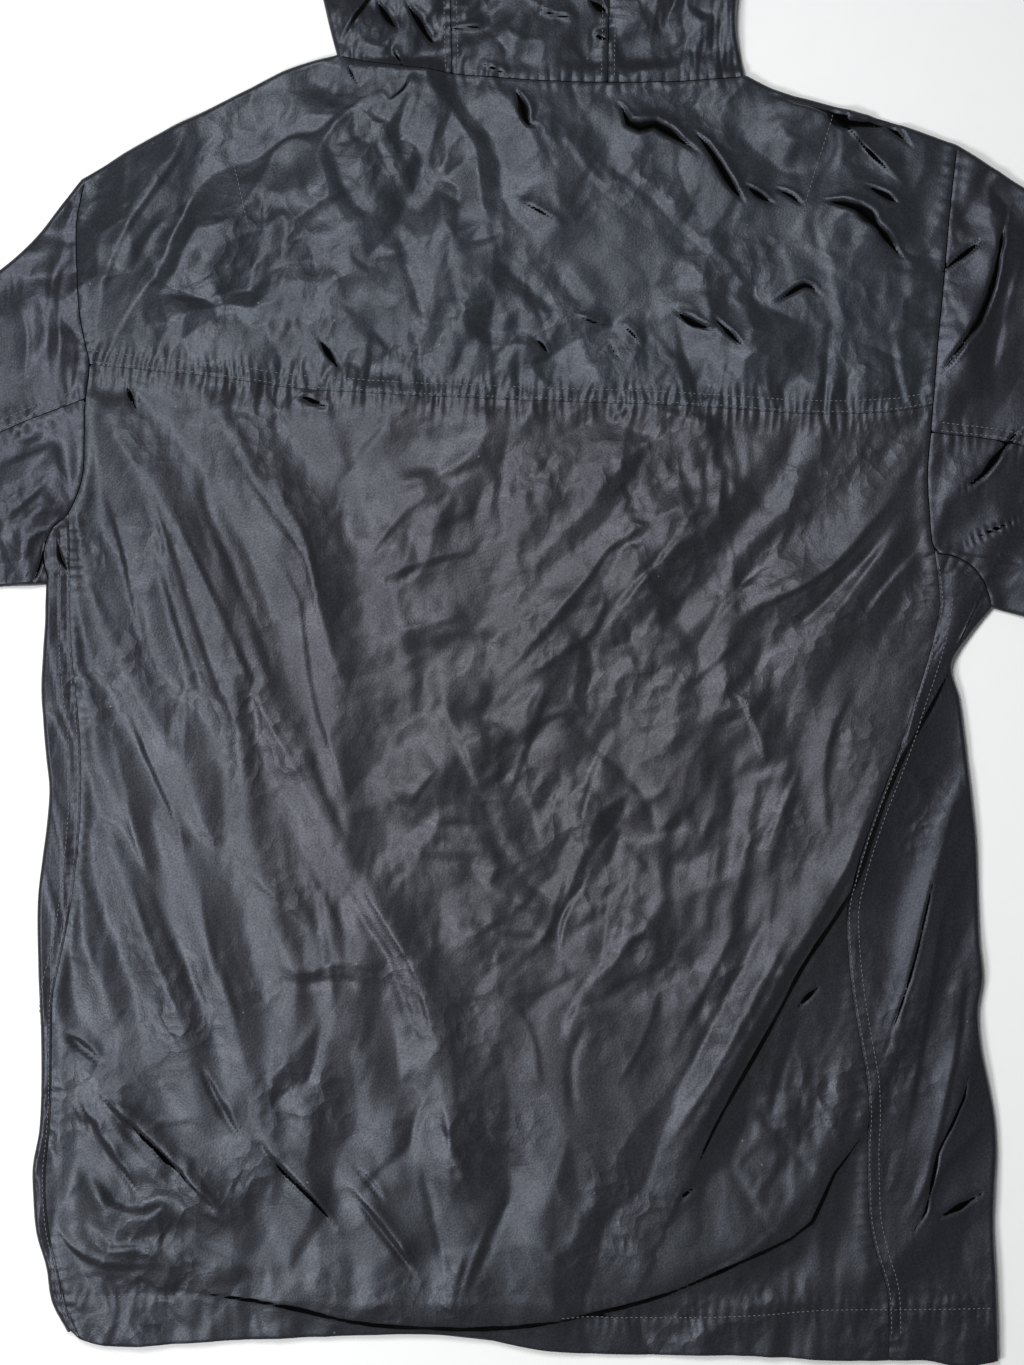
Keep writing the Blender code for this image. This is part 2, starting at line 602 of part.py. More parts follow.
def back_yoke(material):
    panel = Panel()
    sides, shoulders = [], []
    for side in SIDES:
        arm = body_arm(side, side["back_arm"])[:ARMHOLE_ROWS[0] + 1]
        sides.append(nudged(arm, last=UP * GAP)[::-1])
        edge = nudged(side["in"]["shoulder"], -side["neck_way"] * GAP, -side["tip_way"] * GAP)
        shoulders.append(edge)
        panel.turn(edge, side["out"]["shoulder"])
    neck = moved(back_neck(), -GAP, 1, LEFT["neck_way"], RIGHT["neck_way"])
    top = shoulders[0][::-1] + neck[1:-1] + shoulders[1]
    seam = moved(even(yoke_seam(), len(top) - 1), GAP, 1)
    low, high = sides
    panel.layer(upper, closed_ends(seam, low[0], high[0]), top, low, high)
    return panel.wall("back_yoke", material)


def front(side, name, material):
    """Lower layer from the zip outwards, the turned side edge and the strip up to the side seam."""
    s = side["sign"]
    panel = Panel()
    edge = nudged(side["in"]["edge"], -side["underarm_way"] * GAP)
    panel.turn(edge, side["out"]["edge"])
    # the part on the table
    arm = body_arm(side, side["front_arm"])
    arm[0] = arm[0] - side["out"]["shoulder"][-1] * 2 * GAP
    outer = edge[::-1] + arm[::-1][1:]
    neck = moved(side["front_neck_line"], -GAP, -s, side["neck_way"], UP)
    shoulder = [p - m * 2 * GAP for p, m in zip(side["in"]["shoulder"], side["out"]["shoulder"])]
    shoulder = nudged(shoulder, -side["neck_way"] * GAP)
    top = neck[::-1][:-1] + closed_ends(shoulder, last=arm[0])
    inner = nudged(side["zip_edge"], last=-UP * GAP)
    hem = even([inner[0], *side["front_hem"][::-1], edge[-1]], len(top) - 1)
    panel.layer(lower, closed_ends(hem, inner[0], outer[0]), closed_ends(top, inner[-1]),
                inner, outer)
    # the strip on the upper layer, below the underarm
    seam = moved(side["seam"], GAP, s)
    level = ARMHOLE_ROWS[3]
    first = straight(edge[0], seam[level], STRIP_COLUMNS)
    last = even([edge[-1], *side["strip_hem"][::-1], seam[-1]], STRIP_COLUMNS)
    panel.layer(upper, first, last, edge, seam[level:])
    # its point, which runs up between armhole and side seam
    arm = body_arm(side, side["back_arm"])[::-1]
    rows = [first]
    for k in range(1, level):
        rows.append(straight(arm[k], seam[level - k], STRIP_COLUMNS))
    rows.append(straight(arm[level - 1].lerp(arm[level], STRIP_POINT),
                         seam[1].lerp(seam[0], STRIP_POINT), STRIP_COLUMNS))
    panel.grid([[upper(p) for p in row] for row in rows])
    return panel.wall(name, material)


def sleeve(side, names, materials):
    s = side["sign"]
    top = nudged(side["in"]["sleeve_top"], side["tip_way"] * GAP)
    under = nudged(side["in"]["sleeve_under"], side["underarm_way"] * GAP)
    back_mark, front_mark = ARMHOLE_ROWS[0] + ARMHOLE_ROWS[1], FRONT_ARMHOLE_ROWS[0]
    pieces = []
    for name, material in zip(names, materials):
        outer_half = name.startswith("sleeve_top")
        panel = Panel()
        edge, way = (top, side["out"]["sleeve_top"]) if outer_half else \
            (under, side["out"]["sleeve_under"])
        panel.turn(edge, way)
        for surface, arm, mark in ((upper, side["back_arm"], back_mark),
                                   (lower, side["front_arm"], front_mark)):
            share = [row["seam"] if surface is upper else 0.5 for row in side["sleeve"]]
            knots = [arm[mark]] + [Vector(row["top"]).lerp(Vector(row["under"]), f)
                                   for row, f in zip(side["sleeve"], share)]
            seam = moved(even(knots, SLEEVE_ROWS), -GAP if outer_half else GAP, -s)
            arm = sleeve_arm(side, arm)
            arm = arm[:mark + 1] if outer_half else arm[mark:]
            step = Vector((seam[0] - knots[0]))
            if outer_half:
                arm = nudged(arm, last=step)
                seam = closed_ends(seam, arm[-1])
                low, high = edge, seam
            else:
                arm = nudged(arm, first=step)
                seam = closed_ends(seam, arm[0])
                low, high = seam, edge
            cuff = straight(low[-1], high[-1], len(arm) - 1)
            panel.layer(surface, arm, cuff, low, high)
        pieces.append(panel.wall(name, material))
    return pieces


def hood_side(side, name, material):
    s = side["sign"]
    columns = NECK_COLUMNS[0] if s < 0 else NECK_COLUMNS[2]
    count = HOOD_ROWS + columns
    neck = moved(back_neck(), GAP, 1, LEFT["neck_way"], RIGHT["neck_way"])
    neck = neck[:columns + 1] if s < 0 else neck[::-1][:columns + 1]
    away = Vector((s * GAP, 0))
    edge = nudged(side["in"]["hood"][:count + 1], side["neck_way"] * GAP, away)
    panel = Panel()
    panel.turn(edge, side["out"]["hood"][:count + 1])
    neck = nudged(neck, last=away)
    seam = [p + away for p in even([side["hood_seam_neck"], *side["hood_seam"],
                                    side["in"]["hood"][count]], HOOD_ROWS)]
    seam = closed_ends(seam, neck[-1], edge[-1])
    panel.layer(upper, neck, edge[HOOD_ROWS:], edge[:HOOD_ROWS + 1], seam)
    # under side: from the front neck seam and the chin up round the face opening
    front_neck = moved(side["front_neck_line"], GAP, -s, side["neck_way"], UP)
    slit = front_neck[-1].x
    chin = Vector((slit, HOOD_CHIN_Y))
    brow = Vector(FOREHEAD[0] if s < 0 else FOREHEAD[2]) + away
    opening = straight(front_neck[-1], chin, CHIN_ROWS)
    opening += even([chin, *side["hood_opening"], brow], count - CHIN_ROWS)[1:]
    panel.layer(lower, front_neck, straight(edge[-1], brow, FRONT_NECK_COLUMNS), edge, opening)
    return panel.wall(name, material)


def hood_centre(material):
    columns = NECK_COLUMNS[1]
    start = HOOD_ROWS + NECK_COLUMNS[0]
    away = Vector((GAP, 0))
    crown = nudged(LEFT["in"]["hood"][start:start + columns + 1], away, -away)
    neck = moved(back_neck(), GAP, 1)[NECK_COLUMNS[0]:NECK_COLUMNS[0] + columns + 1]
    neck = nudged(neck, away, -away)
    panel = Panel()
    panel.turn(crown, LEFT["out"]["hood"][start:start + columns + 1])
    seams = []
    for side, step, end in ((LEFT, away, 0), (RIGHT, -away, -1)):
        line = even([side["hood_seam_neck"], *side["hood_seam"], crown[end] - step], HOOD_ROWS)
        seams.append(closed_ends([p + step for p in line], neck[end], crown[end]))
    panel.layer(upper, neck, crown, *seams)
    brow = even(FOREHEAD, columns)
    brow = nudged(brow, away, -away)
    panel.layer(lower, crown, brow, straight(crown[0], brow[0], FOREHEAD_ROWS),
                straight(crown[-1], brow[-1], FOREHEAD_ROWS))
    return panel.wall("hood_centre", material)


# ---- zip -----------------------------------------------------------------------------------
def zip_chain(material):
    """Tape and coil as one T-shaped strip that follows the fronts' edges."""
    tape, coil = ZIP_TAPE_WIDTH / 2, ZIP_CHAIN_WIDTH / 2
    seat = CLOTH + 2 * GAP
    profile = [(-tape, seat), (-coil, seat), (-coil, CHAIN_FOOT), (coil, CHAIN_FOOT), (coil, seat),
               (tape, seat), (tape, seat + ZIP_TAPE), (-tape, seat + ZIP_TAPE)]
    stations = [p.y for p in LEFT["zip_edge"]]
    stations += [SLIDER_Y - CHAIN_END_BELOW, SLIDER_Y + CHAIN_END_ABOVE]
    mesh = bmesh.new()
    rings = [[mesh.verts.new(Vector((ZIP_X + x, y, z + zip_rise(y))) * MM) for x, z in profile]
             for y in stations]
    for low, high in zip(rings, rings[1:]):
        for i in range(len(profile)):
            mesh.faces.new([low[i], low[i - 1], high[i - 1], high[i]])
    for part in ((0, 1, 4, 5, 6, 7), (1, 2, 3, 4)):
        mesh.faces.new([rings[0][i] for i in part])
        mesh.faces.new([rings[-1][i] for i in reversed(part)])
    return add_object("zip_chain", mesh, material, smooth_shading=False)


def box(mesh, low, high):
    """A closed box between two corners, in millimetres."""
    size = Vector(high) - Vector(low)
    middle = (Vector(high) + Vector(low)) / 2
    matrix = Matrix.Translation(middle * MM) @ Matrix.Diagonal((*(size * MM), 1))
    bmesh.ops.create_cube(mesh, size=1, matrix=matrix)


def rod(mesh, radius, low_x, high_x, y, z, segments=ROD_SEGMENTS):
    """A closed rod along X."""
    matrix = (Matrix.Translation(Vector(((low_x + high_x) / 2, y, z)) * MM)
              @ Matrix.Rotation(pi / 2, 4, "Y"))
    bmesh.ops.create_cone(mesh, cap_ends=True, segments=segments, radius1=radius * MM,
                          radius2=radius * MM, depth=(high_x - low_x) * MM, matrix=matrix)


def united(name, material, solids, cut=()):
    """One solid from overlapping ones, less the cutters."""
    shapes = []
    for k, make in enumerate([*solids, *cut]):
        mesh = bmesh.new()
        make(mesh)
        shapes.append(add_object(f"{name}_shape_{k}", mesh, material, smooth_shading=False))
    base = shapes[0]
    for k, shape in enumerate(shapes[1:], 1):
        tool = base.modifiers.new(f"join_{k}", "BOOLEAN")
        tool.operation = "UNION" if k < len(solids) else "DIFFERENCE"
        tool.object = shape
    bpy.context.view_layer.update()
    solid = base.evaluated_get(bpy.context.evaluated_depsgraph_get())
    data = bpy.data.meshes.new_from_object(solid)
    for shape in shapes:
        bpy.data.objects.remove(shape)
    data.name = name
    result = bpy.data.objects.new(name, data)
    bpy.context.scene.collection.objects.link(result)
    return result


def zip_slider(material):
    half_w, half_l, half_neck = SLIDER_WIDTH / 2, SLIDER_LENGTH / 2, SLIDER_NECK_WIDTH / 2
    under = CHAIN_FOOT + ZIP_RISE - 2 * GAP                  # inner face of the lower plate
    over = CLOTH + 2 * GAP + ZIP_TAPE + ZIP_RISE + 2 * GAP   # inner face of the upper plate
    x, y, bar_y, bar_z = ZIP_X, SLIDER_Y, PULL_PIVOT_Y, PULL_PIVOT_Z

    def plate(low, high):
        return lambda mesh: box(mesh, (x - half_w, y - half_l, low), (x + half_w, y + half_l, high))

    def lug(s):
        a, b = sorted((x + s * LUG_INNER, x + s * LUG_OUTER))
        low = (a, bar_y - LUG_HALF_LENGTH, bar_z - LUG_BELOW_PIVOT)
        return lambda mesh: box(mesh, low, (b, bar_y + LUG_HALF_LENGTH, under - 2 * OVERLAP))

    def neck(mesh):
        box(mesh, (x - half_neck, y + SLIDER_NECK[0], under - OVERLAP),
            (x + half_neck, y + SLIDER_NECK[1], over + OVERLAP))

    def bar(mesh):
        rod(mesh, PIVOT_BAR, x - LUG_OUTER + OVERLAP, x + LUG_OUTER - OVERLAP, bar_y, bar_z)

    return united("zip_slider", material, [
        plate(under - SLIDER_PLATE, under), plate(over, over + SLIDER_PLATE), neck, lug(-1), lug(1),
        bar])


def zip_pull(material):
    x, y, z = ZIP_X, PULL_PIVOT_Y, PULL_PIVOT_Z
    foot, half_w, step = z - PULL_EYE, PULL_WIDTH / 2, PULL_STEP
    shoulder = y - PULL_SHOULDER
    return united("zip_pull", material, [
        lambda mesh: rod(mesh, PULL_EYE, x - PULL_STEM, x + PULL_STEM, y, z, EYE_SEGMENTS),
        lambda mesh: box(mesh, (x - PULL_STEM + step, shoulder - OVERLAP, foot),
                         (x + PULL_STEM - step, y, foot + PULL_PLATE)),
        lambda mesh: box(mesh, (x - half_w, y - PULL_LENGTH, foot + step),
                         (x + half_w, shoulder, foot + PULL_PLATE - step))],
        cut=[lambda mesh: rod(mesh, PULL_HOLE, x - half_w, x + half_w, y, z)])


def main():
    for thing in list(bpy.data.objects):
        bpy.data.objects.remove(thing)
    lay_out()
    nylon = {name: principled(name, colour, 0.42) for name, colour in (
        ("nylon_back", (0.060, 0.061, 0.070)), ("nylon_yoke", (0.066, 0.070, 0.080)),
        ("nylon_front", (0.050, 0.051, 0.058)), ("nylon_sleeve", (0.058, 0.060, 0.068)),
        ("nylon_under_sleeve", (0.052, 0.054, 0.062)), ("nylon_hood", (0.055, 0.058, 0.066)))}
    back_body(nylon["nylon_back"])
    back_yoke(nylon["nylon_yoke"])
    for side, half in ((LEFT, "left"), (RIGHT, "right")):
        front(side, f"front_{half}", nylon["nylon_front"])
        sleeve(side, (f"sleeve_top_{half}", f"sleeve_under_{half}"),
               (nylon["nylon_sleeve"], nylon["nylon_under_sleeve"]))
        hood_side(side, f"hood_{half}", nylon["nylon_hood"])
    hood_centre(nylon["nylon_hood"])
    zip_chain(principled("zip_tape", (0.020, 0.020, 0.022), 0.6))
    metal = principled("zip_metal", (0.10, 0.10, 0.11), 0.35, 1.0)
    zip_slider(metal)
    zip_pull(metal)


if __name__ == "__main__":
    main()
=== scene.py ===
"""Looks of the hooded windbreaker jacket, laid flat with its back up.

Each cut piece of nylon gets a thin shell on the form of its solid: the same outline, seams,
ridges and rounded edges, worked out here from the same sizes, with the cloth's creases,
gathers and stitches on top. Sizes and places are in millimetres in the pattern's own frame:
+X is the wearer's right as seen from behind, +Y runs from hem to hood, +Z is out of the back.
"""

import bpy
import numpy as np
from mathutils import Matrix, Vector


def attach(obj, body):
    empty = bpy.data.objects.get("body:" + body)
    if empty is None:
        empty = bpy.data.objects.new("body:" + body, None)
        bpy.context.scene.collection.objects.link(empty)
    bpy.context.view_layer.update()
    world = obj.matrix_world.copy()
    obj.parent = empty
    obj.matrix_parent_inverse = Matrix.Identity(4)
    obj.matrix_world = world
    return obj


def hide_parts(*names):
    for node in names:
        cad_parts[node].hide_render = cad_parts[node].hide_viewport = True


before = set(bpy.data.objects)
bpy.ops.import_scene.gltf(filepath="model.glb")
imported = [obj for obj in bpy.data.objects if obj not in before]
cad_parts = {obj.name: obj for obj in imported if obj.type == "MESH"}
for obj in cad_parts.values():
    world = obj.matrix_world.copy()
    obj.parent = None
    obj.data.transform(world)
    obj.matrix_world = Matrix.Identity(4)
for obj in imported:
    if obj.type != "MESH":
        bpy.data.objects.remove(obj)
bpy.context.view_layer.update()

MM = 0.001
ORIGIN = np.array((-1.5, 549.85))     # the frame's origin in the pattern's frame

# ---- sizes of the solids -----------------------------------------------------------------------
CLOTH = 1.3               # thickness of the wall
GAP = 0.10                # each shell keeps this far from a seam line
LOFT = 6.0                # height of the upper layer where it has no folds
EDGE_RADIUS = 3.0         # where the cloth turns over at the outline
EDGE_STEPS = 8
HEM_EXTRA, HEM_DEPTH = 0.5, 27.0
BODY_HALF = 300           # the body's half width, with a margin
ZIP_X, ZIP_SLIT, ZIP_FOOT_Y = 14.0, 5.6, 1.0           # middle, half the gap between the fronts, foot
ZIP_TAPE_WIDTH, ZIP_TAPE, CHAIN_FOOT = 28.0, 0.6, 0.4
FRONT_NECK_Y, HOOD_CHIN_Y = 690.0, 752.0
ZIP_RISE, ZIP_RISE_REACH, SLIDER_Y = 3.5, 75.0, 735.0  # the fronts rise over the slider

# stretches of the panels' grids, each cut into FINE parts before a panel picks its own share
FINE = 40
NECK_COLUMNS = (4, 6, 5)
SHOULDER_COLUMNS = 6
BACK_COLUMNS = 40
# rows of each stretch of an armhole, and the numbers of its points where the stretches meet
ARMHOLE_ROWS, ARMHOLE_MARKS = (8, 1, 3, 4), (0, 4, 5, 8, 11)
FRONT_ARMHOLE_ROWS, FRONT_ARMHOLE_MARKS = (4, 4), (0, 3, 7)
SLEEVE_MARK = ARMHOLE_ROWS[0] + ARMHOLE_ROWS[1]       # the row at which the sleeve seam meets it
SIDE_ROWS = 22
STRIP_COLUMNS = 3
FRONT_NECK_COLUMNS = 4
SLEEVE_ROWS = 11
HOOD_ROWS = 10
CHIN_ROWS = 2
FOREHEAD_ROWS = 2

# Outline and seams of each half. armhole, side_seam and hood_seam are on the upper layer,
# front_armhole, front_neck and hood_opening on the lower one. A row of the sleeve has its top
# edge, its under edge, and how far from the first to the second the seam runs.
LEFT = {
    "sign": -1,
    "neck": (-109, 773),
    "shoulder": [(-137, 765), (-179, 744), (-221, 723), (-251, 705)],
    "tip": (-262, 699),
    "armhole": [(-265, 670), (-263, 627), (-261, 608), (-257, 588), (-259, 567),
                (-260, 538), (-262, 512), (-269, 499), (-279, 489), (-284, 474)],
    "front_armhole": [(-248, 655), (-240, 610), (-238, 570), (-243, 525), (-257, 485), (-272, 466)],
    "underarm": (-283, 456),
    "side": [(-284, 423), (-286, 399), (-284, 363), (-281, 333), (-283, 309), (-288, 271),
             (-288, 238), (-286, 179), (-287, 133), (-291, 110), (-289, 70), (-281, 41),
             (-279, 25)],
    "corner": (-270, 9),
    "side_seam": [(-268, 457), (-268, 430), (-265, 391), (-262, 361), (-262, 322),
                  (-265, 285), (-271, 246), (-278, 214), (-279, 193), (-280, 140), (-283, 108),
                  (-281, 70), (-274, 41), (-271, 27), (-262, 6)],
    "front_hem": [(-180, 7), (-90, 10)],
    "strip_hem": [],
    "front_neck": [(-95, 735), (-62, 706), (-20, 692)],
    "sleeve": [
        {"top": (-311, 646), "under": (-311, 455), "seam": 0.52},
        {"top": (-372, 606), "under": (-338, 445), "seam": 0.52},
        {"top": (-437, 562), "under": (-364, 415), "seam": 0.51},
        {"top": (-497, 502), "under": (-396, 370), "seam": 0.50},
        {"top": (-549, 428), "under": (-433, 314), "seam": 0.50},
        {"top": (-593, 348), "under": (-470, 252), "seam": 0.50},
        {"top": (-632, 265), "under": (-507, 188), "seam": 0.50},
        {"top": (-661, 190), "under": (-533, 138), "seam": 0.50},
    ],
    "sleeve_start": [(-275, 681), (-290, 660)],
    "sleeve_under_start": [(-293, 457)],
    "hood_side": [(-117, 805), (-129, 860), (-137, 930), (-134, 1000)],
    "hood_corner": (-112, 1052),
    "hood_crown": [(-82, 1082)],
    "hood_seam_neck": (-40, 761),
    "hood_seam": [(-42, 850), (-44, 960)],
    "hood_seam_crown": (-42, 1101),
    "hood_opening": [(-22, 800), (-42, 870), (-46, 940), (-43, 1000)],
}
RIGHT = {
    "sign": 1,
    "neck": (135, 761),
    "shoulder": [(151, 753), (187, 743), (220, 734), (241, 727)],
    "tip": (263, 719),
    "armhole": [(258, 686), (254, 640), (250, 601), (247, 563), (246, 547),
                (244, 524), (245, 500), (248, 477), (266, 471), (278, 457)],
    "front_armhole": [(248, 665), (240, 615), (237, 570), (240, 520), (255, 476), (271, 455)],
    "underarm": (283, 442),
    "side": [(270, 426), (259, 408), (264, 387), (268, 355), (272, 320), (274, 295),
             (276, 240), (278, 224), (275, 191), (284, 143), (286, 116), (284, 80), (286, 31)],
    "corner": (287, -8),
    "side_seam": [(251, 443), (244, 411), (237, 391), (226, 357), (212, 321), (202, 291),
                  (196, 264), (197, 232), (201, 199), (206, 171), (209, 147), (208, 119),
                  (209, 80), (212, 61), (220, 33), (221, -7)],
    "front_hem": [(220, -5), (120, -2)],
    "strip_hem": [(242, -7), (270, -11)],
    "front_neck": [(120, 728), (85, 703), (48, 692)],
    "sleeve": [
        {"top": (303, 693), "under": (303, 435), "seam": 0.60},
        {"top": (368, 652), "under": (345, 425), "seam": 0.60},
        {"top": (430, 600), "under": (378, 398), "seam": 0.58},
        {"top": (487, 535), "under": (410, 362), "seam": 0.56},
        {"top": (538, 462), "under": (442, 313), "seam": 0.54},
        {"top": (583, 383), "under": (474, 254), "seam": 0.52},
        {"top": (622, 300), "under": (505, 194), "seam": 0.50},
        {"top": (658, 222), "under": (530, 145), "seam": 0.50},
    ],
    "sleeve_start": [(275, 713), (289, 704)],
    "sleeve_under_start": [(290, 438)],
    "hood_side": [(130, 805), (146, 865), (156, 935), (153, 1003)],
    "hood_corner": (133, 1056),
    "hood_crown": [(102, 1086)],
    "hood_seam_neck": (53, 756),
    "hood_seam": [(55, 850), (58, 960)],
    "hood_seam_crown": (58, 1104),
    "hood_opening": [(48, 800), (62, 870), (65, 940), (60, 1000)],
}
SIDES = (LEFT, RIGHT)

YOKE_SEAM = [(-194, 581), (-116, 572), (-17, 567), (94, 563), (172, 558), (221, 559)]
BACK_NECK = [(-78, 766), (6, 757)]
BACK_NECK_RIGHT = [(100, 757)]
HEM = [(-247, 2), (-223, 2), (-173, 5), (-124, 7), (-65, 9), (-26, 7), (-2, 2), (25, -2),
       (74, -4), (134, -4), (190, -7)]
HOOD_CROWN = [(8, 1110)]
FOREHEAD = [(-42, 1050), (8, 1053), (58, 1052)]

# ---- folds of the solids: height, width, line --------------------------------------------------
RIDGES = [
    (6.0, 13, [(-235, 541), (-206, 499), (-187, 445), (-174, 401), (-155, 361)]),
    (5.5, 12, [(-217, 527), (-186, 474), (-160, 421), (-140, 370), (-116, 318), (-102, 292)]),
    (4.0, 12, [(-246, 541), (-227, 510), (-214, 471), (-200, 420), (-188, 384)]),
    (5.0, 13, [(-184, 561), (-160, 524), (-130, 480), (-115, 425), (-98, 386), (-84, 366)]),
    (4.0, 12, [(-148, 531), (-125, 484), (-118, 430), (-104, 350), (-96, 312)]),
    (5.5, 13, [(-104, 297), (-80, 257), (-60, 224), (-50, 190), (-42, 150), (-36, 105)]),
    (3.5, 12, [(-236, 291), (-224, 253), (-208, 214), (-192, 174)]),
    (3.0, 12, [(-193, 287), (-183, 236), (-172, 207), (-164, 176)]),
    (3.5, 12, [(-150, 232), (-118, 226), (-92, 228), (-76, 224)]),
    (5.0, 13, [(-245, 148), (-222, 118), (-198, 98), (-172, 72)]),
    (4.0, 12, [(-158, 125), (-136, 104), (-112, 72)]),
    (4.0, 12, [(-100, 100), (-80, 76), (-62, 50)]),
    (4.5, 12, [(-18, 88), (-30, 62), (-42, 36)]),
    (4.5, 13, [(226, 516), (205, 488), (180, 462), (135, 440)]),
    (4.0, 13, [(230, 492), (200, 446), (168, 416)]),
    (4.0, 12, [(129, 514), (90, 492), (55, 466), (20, 430), (-4, 412)]),
    (3.5, 12, [(110, 508), (88, 474), (56, 440)]),
    (3.0, 12, [(26, 540), (10, 516), (6, 496)]),
    (3.0, 12, [(-84, 428), (-58, 434), (-28, 440)]),
    (3.0, 12, [(-96, 466), (-72, 490), (-44, 520)]),
    (3.0, 12, [(-68, 324), (-42, 346), (-6, 372)]),
    (3.0, 12, [(132, 396), (142, 368), (150, 346)]),
    (4.5, 13, [(166, 262), (146, 220), (126, 182), (104, 146), (82, 112)]),
    (5.0, 12, [(268, 350), (256, 312), (244, 262), (234, 212), (222, 164)]),
    (4.0, 12, [(270, 188), (264, 150), (248, 112)]),
    (4.0, 12, [(282, 96), (246, 76), (222, 50), (180, 34), (110, 18)]),
    (5.0, 14, [(-203, 726), (-212, 700), (-232, 660), (-250, 628), (-258, 604)]),
    (3.0, 13, [(-146, 640), (-128, 600)]),
    (3.5, 13, [(-46, 668), (-36, 632), (-28, 596)]),
    (4.5, 13, [(54, 738), (74, 728), (100, 718), (124, 692), (144, 676)]),
    (4.0, 13, [(150, 686), (178, 680), (206, 676), (226, 650)]),
    (3.0, 12, [(-2, 682), (28, 664)]),
    (3.5, 12, [(94, 616), (118, 606), (142, 600), (172, 618)]),
    (4.0, 14, [(-300, 640), (-286, 600), (-276, 560)]),
    (4.0, 14, [(-310, 500), (-292, 492), (-276, 520)]),
    (4.5, 14, [(289, 672), (278, 640), (268, 600), (258, 566)]),
    (4.0, 14, [(322, 556), (296, 536), (268, 516), (250, 508)]),
    (4.5, 15, [(-330, 600), (-390, 545), (-452, 470)]),
    (4.0, 15, [(-395, 420), (-440, 400), (-500, 400)]),
    (4.0, 15, [(-440, 340), (-490, 330), (-548, 340)]),
    (4.5, 15, [(335, 640), (392, 580), (450, 500)]),
    (4.0, 15, [(400, 420), (450, 410), (510, 430)]),
    (4.0, 15, [(455, 330), (500, 330), (556, 350)]),
    (4.5, 15, [(-92, 800), (-70, 850), (-66, 930)]),
    (4.0, 15, [(100, 790), (88, 850), (96, 920)]),
    (3.5, 15, [(0, 790), (18, 860), (10, 940)]),
    (3.5, 15, [(-90, 990), (-20, 1030), (60, 1020)]),
]
# cloth pushed over itself: height, drop, sink, which side lies behind, line
BAGS = [
    (8.0, 4.0, 60, -1, [(262, 420), (245, 385), (225, 350), (209, 308), (197, 274), (168, 230),
                        (149, 194), (118, 139), (100, 100)]),
    (6.0, 4.0, 55, 1, [(-212, 38), (-144, 28), (-85, 16), (-2, 15), (74, 30), (134, 55), (171, 74),
                       (185, 103), (201, 124), (213, 146)]),
]

